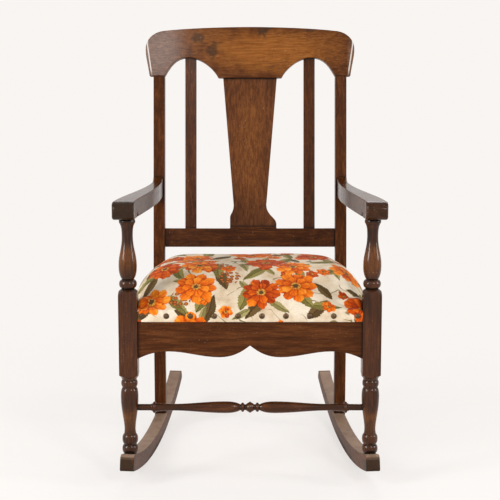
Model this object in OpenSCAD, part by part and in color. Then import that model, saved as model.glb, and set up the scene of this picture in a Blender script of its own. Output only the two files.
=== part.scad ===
// Arm rocking chair: a turned and sawn hardwood frame on two curved rockers, with a sprung seat
// under a printed cloth cover. Lengths are in millimetres. The front faces -Y, Z is up, and the
// origin lies on the floor under the middle of the chair's bounding box.

/* [Frame layout] */
// Distance between the centre lines of the two front posts
front_post_spacing = 550; // [480:2:620]
// Distance between the centre lines of the two rear posts
rear_post_spacing = 472; // [410:2:540]
// Distance from the front posts' centre line back to the rear posts' centre line
seat_depth = 427; // [380:1:480]
// Distance of a rear post's centre line outside the rocker's centre line
rear_post_outset = 4.5; // [0:0.5:5]
// Height of the seat rails' top edge above the floor
seat_height = 403.5; // [370:0.5:430]
// Height of the arms' flat top above the floor
arm_height = 653.5; // [620:0.5:680]

/* [Rockers] */
// Radius of the curved edge that the chair rolls on
rocker_radius = 1130; // [900:10:1300]
// Distance from the front posts back to the rockers' lowest point
rocker_low_point = 253; // [235:1:275]
// Width of a rocker across the chair
rocker_width = 32; // [32:1:40]
// Depth of a rocker at its front end
rocker_front_depth = 38; // [34:1:46]
// Depth of a rocker at its rear end
rocker_rear_depth = 27; // [24:1:32]
// Reach of a rocker's running edge in front of the front post's centre
rocker_front_reach = 48; // [44:1:70]
// Reach of a rocker's running edge behind the rear post's centre
rocker_rear_reach = 234; // [180:1:260]

/* [Front posts] */
// Side of the square block in a front post
block_size = 42; // [38:1:46]
// Height of the block's lower corners above the floor
block_bottom = 257.5; // [240:0.5:268]
// Height of the block's upper corners above the floor
block_top = 437.5; // [424:0.5:448]
// Radius of the widest turned swelling in a front post
turning_radius = 20.5; // [17:0.5:23]

/* [Rear posts and back] */
// Width of a rear post across the chair
rear_post_width = 29; // [26:1:30]
// Depth of a rear post from front to back
rear_post_depth = 30; // [28:1:34]
// Height at which the rear posts turn from upright to raked
bend_height = 343.5; // [300:0.5:360]
// Lean of the back from upright, in degrees
back_rake = 8.5; // [5:0.5:12]
// Radius of the bow of the crest rail and the lower back rail, as seen from above
bow_radius = 900; // [700:10:1500]
// Length up the back from the posts' bend to the crest rail's lower edge
crest_rise = 583; // [540:1:620]
// Height of the crest rail
crest_height = 134; // [115:1:150]
// Half of the crest rail's greatest width
crest_half_width = 270.5; // [264:0.5:285]
// Thickness of the crest rail
crest_thickness = 22; // [19:1:26]
// Length up the back from the posts' bend to the lower back rail
lower_rail_rise = 139.5; // [130:0.5:160]
// Height of the lower back rail
lower_rail_height = 48.5; // [40:0.5:60]
// Thickness of the lower back rail
lower_rail_thickness = 20; // [18:1:24]

/* [Splat and slats] */
// Half of the splat's width where it enters the crest rail
splat_top_half_width = 70.5; // [60:0.5:75]
// Half of the splat's width at its waist
splat_waist_half_width = 43; // [36:0.5:50]
// Reach of the splat's foot to the left of the middle
splat_foot_left = 52.5; // [48:0.5:60]
// Reach of the splat's foot to the right of the middle
splat_foot_right = 69.5; // [55:0.5:75]
// Width of each slat
slat_width = 29; // [22:1:34]
// Distance of each slat's centre line from the middle
slat_offset = 155; // [148:1:162]
// Thickness of the splat and the slats
splat_thickness = 9; // [7:0.5:12]

/* [Arms] */
// Thickness of an arm
arm_thickness = 41; // [36:1:46]
// Reach of an arm's rolled nose in front of the front post's centre
arm_nose_reach = 44; // [40:1:47]
// Distance of an arm's outer side from the middle at its nose
arm_outer_front = 305; // [300:1:315]
// Distance of an arm's inner side from the middle at its nose
arm_inner_front = 256; // [250:1:262]
// Height that an arm sweeps up where it meets the rear post
arm_sweep_height = 10; // [6:1:14]

/* [Seat frame] */
// Thickness of the seat rails
rail_thickness = 22; // [18:1:24]
// Height of the side rails and the rear rail
rail_height = 70; // [62:1:80]
// Greatest height of the scalloped front apron
apron_height = 109; // [100:0.5:120]
// Height that the apron's scallops rise at their peak
scallop_rise = 31; // [20:1:36]
// Distance of the apron's face behind the front posts' face
apron_setback = 4; // [2:1:8]
// Thickness of the corner blocks
corner_block_height = 26; // [18:1:34]

/* [Stretcher] */
// Height of the front stretcher's centre line above the floor
stretcher_height = 177.5; // [160:0.5:200]
// Radius of the stretcher's widest swelling
stretcher_radius = 13.4; // [11:0.1:15]

/* [Seat] */
// Thickness of the seat's cloth cover with its lining
cover_thickness = 2; // [1.5:0.1:3]
// Drop of the cover's hem below the seat rails' top edge
hem_drop = 23.5; // [22:0.5:34]
// Height of the seat's crown above the rails
crown_height = 77; // [72:1:100]
// Thickness of the hessian over the springs
hessian_thickness = 1.5; // [1:0.1:2]
// Width of a webbing strap
strap_width = 50; // [40:1:56]
// Thickness of a webbing strap
strap_thickness = 2; // [1.5:0.1:3]
// Height of a seat spring under load
spring_height = 90; // [82:1:96]
// Radius of a spring's end coils
spring_end_radius = 38; // [30:1:42]
// Radius of a spring's waist
spring_waist_radius = 23; // [18:1:28]
// Diameter of the spring wire
spring_wire = 3.6; // [3:0.1:4.2]
// Number of turns in a spring
spring_turns = 5; // [4:1:6]
// Diameter of an upholstery nail's head
nail_head_diameter = 13; // [9:0.5:14]
// Greatest distance between two upholstery nails
nail_pitch = 55; // [35:1:70]

/* [Hidden] */

LEFT = -1;
RIGHT = 1;
wood = "#5b2f17";
dark_wood = "#4a2612";
pale_wood = "#c9a877";
steel = "#8d8f92";
bronze = "#4b3a26";
jute = "#b59a6a";
cotton = "#e9e2d2";
print_orange = "#d9662a";

// Common allowances
overrun = 5;
joint_clearance = 0.15;
seam_clearance = 0.3;
fine_steps = 96;

// Joinery: two dowels to each rail end, at different heights where two rails meet in one post
tenon_radius = 9;
rocker_tenon_depth = 20;
arm_tenon_depth = 24;
crest_tenon_radius = 6;
crest_tenon_depth = 30;
mortise_depth = 12;
stretcher_tenon_depth = 12;
dowel_radius = 4.5;
dowel_length = 40;
dowel_shares = [0.12, 0.42];
side_dowel_shares = [0.27, 0.57];
back_dowel_shares = [0.25, 0.75];

// Where the rockers run: each passes under its front and rear post, so the pair toes in
toe_reach = (front_post_spacing - rear_post_spacing) / 2 + rear_post_outset;
toe_angle = atan(toe_reach / seat_depth);
leg_run = norm([toe_reach, seat_depth]);
front_swing = asin((rocker_low_point + rocker_front_reach) / rocker_radius);
rear_swing = asin((leg_run + rocker_rear_reach - rocker_low_point) / rocker_radius);
rocker_taper_shift = (rocker_front_depth - rocker_rear_depth) / (sin(front_swing) + sin(rear_swing));
rocker_top_radius = rocker_radius - rocker_front_depth + rocker_taper_shift * sin(front_swing);
rocker_heel_radius = 6;
rocker_nose_radius = 13;
rocker_tail_radius = 9;

// Height of a rocker's upper edge at a distance behind the front post
function rocker_top(run) =
    rocker_radius - sqrt(pow(rocker_top_radius, 2) - pow(run - rocker_low_point - rocker_taper_shift, 2));

// The origin's place: the middle between the foremost and the rearmost point
function end_reach(swing, heel) = (rocker_radius - heel) * sin(swing) - heel * cos(swing) + heel;
half_width_reach = rocker_width / 2 * sin(toe_angle);
front_run = end_reach(front_swing, rocker_heel_radius) - rocker_low_point;
rear_run = end_reach(rear_swing, rocker_heel_radius) + rocker_low_point;
foremost = max(front_run * cos(toe_angle) + half_width_reach, arm_nose_reach);
rearmost = rear_run * cos(toe_angle) + half_width_reach;
origin_y = (rearmost - foremost) / 2;

// Seat frame lines, as seen from above
post_x = front_post_spacing / 2;
back_post_x = rear_post_spacing / 2;
block_half = block_size / 2;
apron_front = -block_half + apron_setback;
apron_back = apron_front + rail_thickness;
apron_half_length = post_x - block_half;
side_front_y = block_half;
side_rear_y = seat_depth - rear_post_depth / 2;
side_rail_setback = 6;
side_front_x = post_x + block_half - side_rail_setback;
side_rear_x = back_post_x + rear_post_width / 2 - side_rail_setback;
rear_rail_setback = 4;
rear_rail_back = seat_depth + rear_post_depth / 2 - rear_rail_setback;
rear_rail_front = rear_rail_back - rail_thickness;
rear_rail_half = back_post_x - rear_post_width / 2;
rail_bottom = seat_height - rail_height;
side_slope = (side_front_x - side_rear_x) / (side_rear_y - side_front_y);
side_angle = atan(side_slope);

// Outer face of the seat frame's side at a depth behind the front posts
function frame_side(y) = side_front_x - side_slope * (y - side_front_y);

// How far the bowed back rails lie behind a straight line between the rear posts
function bow_at(x) = sqrt(pow(bow_radius, 2) - pow(x, 2)) - sqrt(pow(bow_radius, 2) - pow(back_post_x, 2));

// Small curves used by the outlines
curve_steps = 8;
function bezier(a, b, c, d, steps = curve_steps) = [
    for (i = [0 : steps])
        let (t = i / steps, s = 1 - t)
            a * s * s * s + b * 3 * t * s * s + c * 3 * t * t * s + d * t * t * t
];
function bead(low, high, waist, girth) = [
    for (i = [0 : curve_steps])
        let (a = 180 * i / curve_steps)
            [waist + (girth - waist) * sin(a), low + (high - low) * (1 - cos(a)) / 2]
];
function sized(shares, width, height) = [for (p = shares) [p[0] * width, p[1] * height]];

// Turned outlines: radius and height, as shares of the swelling's radius and of the turning's length
leg_shares = concat(
    [[0.72, 0]],
    bead(0.02, 0.12, 0.70, 0.90),
    bead(0.135, 0.25, 0.69, 0.88),
    bezier([0.68, 0.26], [0.64, 0.28], [0.62, 0.29], [0.62, 0.32]),
    bezier([0.62, 0.33], [0.66, 0.43], [0.98, 0.56], [0.98, 0.70]),
    bezier([0.98, 0.71], [0.98, 0.77], [0.93, 0.81], [0.81, 0.825]),
    bead(0.845, 0.92, 0.80, 0.92),
    bezier([0.80, 0.925], [0.88, 0.96], [1.05, 0.975], [1.5, 1])
);
support_shares = concat(
    bezier([1.5, 0], [1.25, 0.05], [0.92, 0.07], [0.66, 0.098]),
    bead(0.10, 0.21, 0.66, 0.98),
    bezier([0.66, 0.215], [0.86, 0.25], [1.0, 0.30], [1.0, 0.39]),
    bezier([1.0, 0.40], [1.0, 0.53], [0.60, 0.62], [0.60, 0.77]),
    bezier([0.60, 0.78], [0.60, 0.86], [0.68, 0.91], [0.78, 0.925]),
    bead(0.935, 0.995, 0.78, 0.90),
    [[0.78, 1]]
);
// Half of the stretcher from its middle: radius and place, as shares of its radius and half length
stretcher_shares = concat(
    bezier([1.0, 0], [0.78, 0.012], [0.72, 0.028], [0.50, 0.036]),
    [[0.50, 0.048]],
    bead(0.052, 0.080, 0.55, 0.80),
    bezier([0.50, 0.086], [0.80, 0.11], [1.0, 0.15], [1.0, 0.22]),
    bezier([1.0, 0.23], [1.0, 0.38], [0.57, 0.54], [0.57, 0.68]),
    bezier([0.57, 0.69], [0.57, 0.76], [0.66, 0.81], [0.70, 0.84]),
    bead(0.842, 0.872, 0.72, 0.98),
    [[0.55, 0.89], [0.55, 1]]
);

// Right half of the crest rail's outline, from the bottom middle round to the top middle
crest_shares = concat(
    [[0, 0]],
    bezier([0.307, 0], [0.340, 0.157], [0.462, 0.384], [0.584, 0.384]),
    bezier([0.590, 0.384], [0.721, 0.384], [0.769, 0.187], [0.821, 0]),
    bezier([0.963, 0], [0.975, 0.20], [1.0, 0.36], [1.0, 0.51]),
    bezier([1.0, 0.52], [1.0, 0.70], [0.932, 0.84], [0.843, 0.881]),
    bezier([0.840, 0.882], [0.628, 0.955], [0.296, 1.0], [0, 1.0])
);
// Right half of the apron's lower edge: the peak in the middle, the lobe and the rise to the post
scallop_shares = concat(
    bezier([0, 1], [0.079, 0.47], [0.157, 0.13], [0.268, 0.13]),
    bezier([0.275, 0.13], [0.433, 0.13], [0.575, 0.56], [0.717, 0.56]),
    bezier([0.722, 0.56], [0.846, 0.56], [0.925, 0.32], [1, 0])
);

// Places a child on a rocker's line, with the front post's centre at zero and +Y along the rocker
module on_rocker_line(side) {
    translate([side * post_x, 0, 0]) rotate([0, 0, side * toe_angle]) children();
}

// Places a child in the raked back: X across, Y out of the back, Z up the back from the bend
module on_back() {
    translate([0, seat_depth, bend_height]) rotate([-back_rake, 0, 0]) children();
}

// Stands an outline drawn in the side view upright and gives it a width across the chair
module across(width) {
    rotate([90, 0, 90]) linear_extrude(height = width, center = true) children();
}

// Stands an outline drawn in the front view upright and gives it a depth to the back
module backward(depth) {
    rotate([90, 0, 0]) linear_extrude(height = depth, center = true) children();
}

// Moves the whole chair so that the origin lies under the middle of its bounding box
module placed() {
    translate([0, -origin_y, 0]) children();
}

// Rocker outline in the side view, square to its curve at both ends with eased corners
module end_corner(depth_in, radius) {
    translate([-radius, depth_in - radius]) difference() {
        square(radius + overrun);
        circle(r = radius, $fn = fine_steps);
    }
}

module rocker_end_corners(depth, upper_radius) {
    translate([0, -rocker_radius]) {
        end_corner(depth, upper_radius);
        mirror([0, 1]) end_corner(0, rocker_heel_radius);
    }
}

module rocker_outline() {
    reach = 2 * rocker_radius;
    translate([rocker_low_point, rocker_radius]) difference() {
        intersection() {
            circle(r = rocker_radius, $fn = fine_steps);
            polygon([
                [0, 0],
                [-reach * sin(front_swing), -reach * cos(front_swing)],
                [reach * sin(rear_swing), -reach * cos(rear_swing)]
            ]);
        }
        translate([rocker_taper_shift, 0]) circle(r = rocker_top_radius, $fn = fine_steps);
        rotate(-front_swing) mirror([1, 0]) rocker_end_corners(rocker_front_depth, rocker_nose_radius);
        rotate(rear_swing) rocker_end_corners(rocker_rear_depth, rocker_tail_radius);
    }
}

module rocker_blank(side) {
    on_rocker_line(side) across(rocker_width) rocker_outline();
}

module rocker_tenons(side, grow) {
    for (run = [0, leg_run])
        on_rocker_line(side)
            translate([0, run, rocker_top(run) - rocker_tenon_depth - grow])
                cylinder(r = tenon_radius + grow, h = 2 * rocker_tenon_depth, $fn = fine_steps);
}

module rocker(side) {
    color(wood) difference() {
        rocker_blank(side);
        rocker_tenons(side, joint_clearance);
    }
}

// Dowels of the seat frame and the lower back rail: they pin each rail end to its post
apron_middle = (apron_front + apron_back) / 2;
rear_rail_middle = (rear_rail_front + rear_rail_back) / 2;

module dowel(grow) {
    cylinder(r = dowel_radius + grow, h = dowel_length + 2 * grow, center = true, $fn = fine_steps);
}

module dowels(grow) {
    for (side = [LEFT, RIGHT]) {
        for (share = dowel_shares) {
            z = rail_bottom + rail_height * share;
            translate([side * apron_half_length, apron_middle, z]) rotate([0, 90, 0]) dowel(grow);
            translate([side * rear_rail_half, rear_rail_middle, z]) rotate([0, 90, 0]) dowel(grow);
        }
        for (share = back_dowel_shares) {
            z = lower_rail_rise + lower_rail_height * share;
            on_back()
                translate([side * rear_rail_half, bow_at(rear_rail_half), z])
                    rotate([0, 90, 0])
                        dowel(grow);
        }
        for (share = side_dowel_shares, y = [side_front_y, side_rear_y])
            translate([side * (frame_side(y) - rail_thickness / 2), y, rail_bottom + rail_height * share])
                rotate([90, 0, side * side_angle])
                    dowel(grow);
    }
}

module rail_dowels() {
    color(pale_wood) dowels(0);
}

// Screws: a countersunk head on a plain shank, pointing along -Z from the head's face
screw_shank_radius = 2;
screw_head_radius = 4;
screw_head_depth = 3;
arm_screw_length = 55;
block_screw_length = 42;

module screw(length, grow) {
    rotate_extrude($fn = fine_steps)
        polygon([
            [0, grow],
            [screw_head_radius + grow, grow],
            [screw_shank_radius + grow, -screw_head_depth],
            [screw_shank_radius + grow, -length + screw_shank_radius],
            [0, -length - grow]
        ]);
}

// One screw through each rear post into the end of the arm
arm_middle_height = arm_height - arm_thickness / 2;
arm_middle_rise = (arm_middle_height - bend_height) / cos(back_rake);

module arm_screw_set(grow) {
    for (side = [LEFT, RIGHT])
        on_back()
            translate([side * back_post_x, rear_post_depth / 2, arm_middle_rise])
                rotate([-90, 0, 0])
                    screw(arm_screw_length, grow);
}

module arm_screws() {
    color(steel) arm_screw_set(0);
}

// Front posts: one turned piece with a square block, from the rocker up into the arm
leg_length = block_bottom - rocker_top(0);
support_length = arm_height - arm_thickness - block_top;
foot_reach = rocker_width / 2 * tan(front_swing) + joint_clearance;
foot_radius = min(turning_radius * leg_shares[0][0], rocker_width / 2 - joint_clearance);

function raised(points, height) = [for (p = points) [p[0], p[1] + height]];

// Revolves an outline of radii and heights about its own axis
module turned(outline) {
    first = outline[0][1];
    last = outline[len(outline) - 1][1];
    rotate_extrude($fn = fine_steps) polygon(concat([[0, first]], outline, [[0, last]]));
}

// The turned outline runs past the block's sides, so its shoulders cut arches into the block's faces
module turned_post() {
    intersection() {
        translate([-block_half, -block_half, 0]) cube([block_size, block_size, arm_height]);
        turned(concat(
            [[foot_radius, rocker_top(0) - foot_reach]],
            raised(sized(leg_shares, turning_radius, leg_length), rocker_top(0)),
            raised(sized(support_shares, turning_radius, support_length), block_top)
        ));
    }
}

module front_post(side) {
    color(wood) difference() {
        union() {
            difference() {
                translate([side * post_x, 0, 0]) turned_post();
                translate([0, 0, joint_clearance]) rocker_blank(side);
            }
            translate([side * post_x, 0, rocker_top(0) - rocker_tenon_depth])
                cylinder(r = tenon_radius, h = rocker_tenon_depth + foot_reach, $fn = fine_steps);
            translate([side * post_x, 0, arm_height - arm_thickness - overrun])
                cylinder(r = tenon_radius, h = arm_tenon_depth + overrun, $fn = fine_steps);
        }
        stretcher_tenons(joint_clearance);
        dowels(joint_clearance);
    }
}

// Rear posts: sawn from one plank, upright below the seat and raked above it
bend_radius = 260;
bend_start = bend_height - bend_radius * tan(back_rake / 2);
bend_steps = 6;
post_half_depth = rear_post_depth / 2;

function bend_point(a, offset) = [
    seat_depth + bend_radius - (bend_radius - offset) * cos(a),
    bend_start + (bend_radius - offset) * sin(a)
];
function up_back(rise, offset) = [
    seat_depth + rise * sin(back_rake) + offset * cos(back_rake),
    bend_height + rise * cos(back_rake) - offset * sin(back_rake)
];
function bend_line(offset) = [for (i = [0 : bend_steps]) bend_point(back_rake * i / bend_steps, offset)];
function reversed(points) = [for (i = [len(points) - 1 : -1 : 0]) points[i]];

module rear_post_outline() {
    foot = rocker_top(leg_run) - rocker_rear_depth / 2;
    polygon(concat(
        [[seat_depth - post_half_depth, foot]],
        bend_line(-post_half_depth),
        [up_back(crest_rise, -post_half_depth), up_back(crest_rise, post_half_depth)],
        reversed(bend_line(post_half_depth)),
        [[seat_depth + post_half_depth, foot]]
    ));
}

module rear_post(side) {
    color(wood) difference() {
        union() {
            difference() {
                translate([side * back_post_x, 0, 0]) across(rear_post_width) rear_post_outline();
                translate([0, 0, joint_clearance]) rocker_blank(side);
            }
            translate([
                side * (back_post_x - rear_post_outset),
                seat_depth,
                rocker_top(leg_run) - rocker_tenon_depth
            ])
                cylinder(r = tenon_radius, h = 2 * rocker_tenon_depth, $fn = fine_steps);
            on_back() translate([side * back_post_x, 0, crest_rise - overrun])
                cylinder(r = crest_tenon_radius, h = crest_tenon_depth + overrun, $fn = fine_steps);
        }
        dowels(joint_clearance);
        arm_screw_set(joint_clearance);
    }
}

// Bowed rails of the back: an outline cut from a plank that is bent to the bow
module bowed(thickness, rise, height) {
    bow_centre = bow_at(0) - bow_radius;
    intersection() {
        translate([0, bow_centre, rise - overrun]) difference() {
            cylinder(r = bow_radius + thickness / 2, h = height + 2 * overrun, $fn = fine_steps);
            translate([0, 0, -overrun])
                cylinder(r = bow_radius - thickness / 2, h = height + 4 * overrun, $fn = fine_steps);
        }
        backward(bow_radius) children();
    }
}

module mirrored_outline(shares, half_width, height) {
    right = sized(shares, half_width, height);
    left = [for (p = reversed(right)) [-p[0], p[1]]];
    polygon(concat(right, left));
}

module crest_rail() {
    color(wood) on_back() difference() {
        bowed(crest_thickness, crest_rise, crest_height)
            translate([0, crest_rise]) mirrored_outline(crest_shares, crest_half_width, crest_height);
        splat_board(joint_clearance);
        for (side = [LEFT, RIGHT]) {
            slat_board(side, joint_clearance);
            translate([side * back_post_x, 0, crest_rise - overrun])
                cylinder(
                    r = crest_tenon_radius + joint_clearance,
                    h = crest_tenon_depth + overrun + joint_clearance,
                    $fn = fine_steps
                );
        }
    }
}

splat_seat_rise = 4.5;
splat_shoulder = 6;
lower_rail_top = lower_rail_rise + lower_rail_height;

module lower_back_rail() {
    color(wood) difference() {
        on_back() difference() {
            bowed(lower_rail_thickness, lower_rail_rise, lower_rail_height + splat_seat_rise) {
                translate([-rear_rail_half, lower_rail_rise])
                    square([2 * rear_rail_half, lower_rail_height]);
                translate([-splat_foot_left, lower_rail_rise])
                    square([splat_foot_left + splat_foot_right, lower_rail_height + splat_seat_rise]);
            }
            splat_board(joint_clearance);
            for (side = [LEFT, RIGHT]) slat_board(side, joint_clearance);
        }
        dowels(joint_clearance);
    }
}

// Splat: a straight taper from the crest rail to a waist, then a flared foot
splat_foot = lower_rail_top + splat_seat_rise;
splat_waist_height = 57;
left_flare_shares = bezier([1, 0.42], [1, 0.60], [0, 0.66], [0, 1]);
right_flare_shares = bezier([1, 0.13], [1, 0.42], [0, 0.53], [0, 1]);

function splat_side(foot, shares) = concat(
    [[foot, splat_foot]],
    [
        for (p = shares)
            [
                splat_waist_half_width + (foot - splat_waist_half_width) * p[0],
                splat_foot + splat_waist_height * p[1]
            ]
    ],
    [[splat_top_half_width, crest_rise]]
);

module splat_board(grow) {
    left = [for (p = splat_side(splat_foot_left, left_flare_shares)) [-p[0], p[1]]];
    right = splat_side(splat_foot_right, right_flare_shares);
    tongue_half = splat_top_half_width - splat_shoulder;
    board = splat_thickness + 2 * grow;
    translate([0, bow_at(0), 0]) {
        if (grow == 0) backward(board) polygon(concat(right, reversed(left)));
        translate([-tongue_half - grow, -board / 2, crest_rise - overrun])
            cube([2 * (tongue_half + grow), board, mortise_depth + overrun + grow]);
        translate([splat_shoulder - splat_foot_left - grow, -board / 2, splat_foot - mortise_depth - grow])
            cube([
                splat_foot_left + splat_foot_right - 2 * (splat_shoulder - grow),
                board,
                mortise_depth + overrun + grow
            ]);
    }
}

module splat() {
    color(dark_wood) on_back() splat_board(0);
}

// Slats stand square to the bow, from the lower rail into the arches of the crest rail
arch_height_share = 0.384;
slat_length = crest_rise + crest_height * arch_height_share - lower_rail_top;

module slat_board(side, grow) {
    length = slat_length + 2 * (mortise_depth + grow);
    translate([side * slat_offset, bow_at(slat_offset), lower_rail_top - mortise_depth - grow])
        rotate([0, 0, -side * asin(slat_offset / bow_radius)])
            translate([-slat_width / 2 - grow, -splat_thickness / 2 - grow, 0])
                cube([slat_width + 2 * grow, splat_thickness + 2 * grow, length]);
}

module slat(side) {
    color(dark_wood) on_back() slat_board(side, 0);
}

// Arms: the side view gives the rolled nose, the notch and the sweep, the top view gives the curve
arm_underside = arm_height - arm_thickness;
arm_nose_radius = arm_thickness / 2;
arm_rear_y = seat_depth + (arm_height - bend_height) * tan(back_rake);
arm_sweep_length = 42;
arm_sweep_radius = (pow(arm_sweep_length, 2) + pow(arm_sweep_height, 2)) / (2 * arm_sweep_height);
arm_notch_depth = 11;
arm_notch_width = 13;
arm_inner_rear = back_post_x - rear_post_width / 2;
arm_outer_rear = back_post_x + rear_post_width / 2;
arm_corner_radius = 9;
arm_front_end = -arm_nose_reach + arm_corner_radius;

module arm_side_view() {
    nose_y = -arm_nose_reach + arm_nose_radius;
    difference() {
        union() {
            translate([nose_y, arm_underside]) square([arm_rear_y - nose_y, arm_thickness]);
            translate([nose_y, arm_underside + arm_nose_radius])
                circle(r = arm_nose_radius, $fn = fine_steps);
            translate([arm_rear_y - arm_sweep_length - post_half_depth, arm_height]) difference() {
                square([arm_sweep_length + post_half_depth, arm_sweep_height]);
                translate([0, arm_sweep_radius]) circle(r = arm_sweep_radius, $fn = fine_steps);
            }
        }
        translate([block_half, arm_underside])
            polygon([
                [0, -overrun],
                [0, arm_notch_depth],
                [arm_notch_width, 0],
                [arm_notch_width, -overrun]
            ]);
    }
}

module arm_top_view() {
    outer = bezier(
        [arm_outer_front, arm_front_end],
        [arm_outer_front - arm_corner_radius / 2, arm_rear_y * 0.24],
        [arm_outer_rear, arm_rear_y * 0.5],
        [arm_outer_rear, arm_rear_y],
        2 * curve_steps
    );
    inner = bezier(
        [arm_inner_front, arm_front_end],
        [arm_inner_front, arm_rear_y * 0.13],
        [arm_inner_rear + arm_corner_radius / 2, arm_rear_y * 0.36],
        [arm_inner_rear, arm_rear_y],
        2 * curve_steps
    );
    polygon(concat(outer, reversed(inner)));
    translate([0, arm_front_end]) {
        for (x = [arm_inner_front + arm_corner_radius, arm_outer_front - arm_corner_radius])
            translate([x, 0]) circle(r = arm_corner_radius, $fn = fine_steps);
        translate([arm_inner_front + arm_corner_radius, -arm_corner_radius])
            square([arm_outer_front - arm_inner_front - 2 * arm_corner_radius, arm_corner_radius]);
    }
}

module behind_post_face() {
    on_back()
        translate([-post_x, -post_half_depth, -bend_height])
            cube([2 * post_x, seat_depth, crest_rise + crest_height + bend_height]);
}

module arm(side) {
    color(wood) difference() {
        mirror([side == LEFT ? 1 : 0, 0, 0]) intersection() {
            translate([post_x, 0, 0]) across(2 * (arm_outer_front - arm_inner_front)) arm_side_view();
            translate([0, 0, arm_underside - overrun])
                linear_extrude(height = arm_thickness + arm_sweep_height + 2 * overrun) arm_top_view();
        }
        behind_post_face();
        translate([side * post_x, 0, arm_underside - overrun])
            cylinder(
                r = tenon_radius + joint_clearance,
                h = arm_tenon_depth + overrun + joint_clearance,
                $fn = fine_steps
            );
        arm_screw_set(joint_clearance);
    }
}

// Front apron with its scalloped lower edge
module front_apron() {
    low = seat_height - apron_height;
    right = sized(scallop_shares, apron_half_length, scallop_rise);
    left = [for (i = [len(right) - 1 : -1 : 1]) [-right[i][0], right[i][1]]];
    color(wood) difference() {
        translate([0, apron_middle, low])
            backward(rail_thickness)
                polygon(concat(
                    left,
                    right,
                    [[apron_half_length, apron_height], [-apron_half_length, apron_height]]
                ));
        dowels(joint_clearance);
        corner_screws(joint_clearance);
        nail_set(joint_clearance);
    }
}

// Side rails: their rear ends are cut to the slope of the raked posts
side_rail_end = seat_depth + (seat_height - bend_height) * tan(back_rake) - post_half_depth / 2;

module side_rail(side) {
    color(dark_wood) difference() {
        translate([0, 0, rail_bottom]) linear_extrude(height = rail_height)
            polygon([
                [side * frame_side(side_front_y), side_front_y],
                [side * frame_side(side_rail_end), side_rail_end],
                [side * (frame_side(side_rail_end) - rail_thickness), side_rail_end],
                [side * (frame_side(side_front_y) - rail_thickness), side_front_y]
            ]);
        translate([side * back_post_x, 0, 0]) across(2 * rear_post_width) rear_post_outline();
        dowels(joint_clearance);
        corner_screws(joint_clearance);
        nail_set(joint_clearance);
    }
}

module rear_seat_rail() {
    color(dark_wood) difference() {
        translate([-rear_rail_half, rear_rail_front, rail_bottom])
            cube([2 * rear_rail_half, rail_thickness, rail_height]);
        dowels(joint_clearance);
        corner_screws(joint_clearance);
        nail_set(joint_clearance);
    }
}

// Corner blocks glued and screwed into the four inner corners, cut round the posts
block_leg = 62;
corner_block_drop = 6;
block_level = seat_height - corner_block_drop - corner_block_height;

function front_block_corners() = [
    [apron_half_length - block_leg, apron_back],
    [apron_half_length, apron_back],
    [apron_half_length, side_front_y],
    [frame_side(side_front_y) - rail_thickness, side_front_y],
    [frame_side(side_front_y + block_leg) - rail_thickness, side_front_y + block_leg]
];
function rear_block_corners() = [
    [frame_side(side_rear_y - block_leg) - rail_thickness, side_rear_y - block_leg],
    [frame_side(side_rear_y) - rail_thickness, side_rear_y],
    [rear_rail_half, side_rear_y],
    [rear_rail_half, rear_rail_front],
    [rear_rail_half - block_leg, rear_rail_front]
];

module corner_blocks() {
    color(pale_wood) difference() {
        for (side = [LEFT, RIGHT], corners = [front_block_corners(), rear_block_corners()])
            translate([0, 0, block_level]) linear_extrude(height = corner_block_height)
                polygon([for (p = corners) [side * p[0], p[1]]]);
        corner_screws(joint_clearance);
    }
}

// Two screws through each corner block's slanted face
screw_places_shares = [0.3, 0.7];

module block_screw_pair(a, b, grow) {
    heading = atan2(b[1] - a[1], b[0] - a[0]);
    for (share = screw_places_shares) {
        place = a + (b - a) * share;
        translate([place[0], place[1], block_level + corner_block_height / 2])
            rotate([0, 0, heading])
                rotate([-90, 0, 0])
                    screw(block_screw_length, grow);
    }
}

module corner_screws(grow) {
    front = front_block_corners();
    rear = rear_block_corners();
    for (side = [LEFT, RIGHT]) mirror([side == LEFT ? 1 : 0, 0, 0]) {
        block_screw_pair(front[0], front[4], grow);
        block_screw_pair(rear[0], rear[4], grow);
    }
}

module corner_block_screws() {
    color(steel) corner_screws(0);
}

// Front stretcher: a turned spindle between the front legs, with round tenons
leg_swell_share = 0.98;
stretcher_half = post_x - turning_radius * leg_swell_share;
stretcher_end_share = 0.52;

module stretcher_tenons(grow) {
    for (side = [LEFT, RIGHT])
        translate([side * (stretcher_half - overrun), 0, stretcher_height])
            rotate([0, side * 90, 0])
                cylinder(
                    r = stretcher_radius * stretcher_end_share + grow,
                    h = stretcher_tenon_depth + overrun + grow,
                    $fn = fine_steps
                );
}

module front_stretcher() {
    color(wood) {
        translate([0, 0, stretcher_height])
            for (side = [LEFT, RIGHT])
                rotate([0, side * 90, 0]) turned(sized(stretcher_shares, stretcher_radius, stretcher_half));
        stretcher_tenons(0);
    }
}

// Webbing: straps tacked under the rails and woven over and under each other
strap_gap = 0.2;
weave_lift = (strap_thickness + strap_gap) / 2;
strap_level = rail_bottom - weave_lift - strap_thickness / 2;
cross_pitch_x = 80;
cross_pitch_y = 72;
seat_middle = (apron_back + rear_rail_front) / 2;
strap_places = [-2, -1, 0, 1, 2];
strap_tab = 24;
strap_margin = 3;
strap_landing = rail_thickness - strap_margin;

// Middle line of a strap: level under its ends, lifted or dropped at each crossing
function strap_line(start, start_landing, end, middle, pitch, turn) = concat(
    [[start, weave_lift], [start + start_landing, weave_lift]],
    [
        for (k = strap_places, edge = [-1, 1])
            [middle + k * pitch + edge * strap_width / 2, (k + turn) % 2 == 0 ? weave_lift : -weave_lift]
    ],
    [[end - strap_landing, weave_lift], [end, weave_lift]]
);

module strap_outline(line) {
    half = strap_thickness / 2;
    polygon(concat([for (p = line) p + [0, half]], [for (p = reversed(line)) p - [0, half]]));
}

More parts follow.
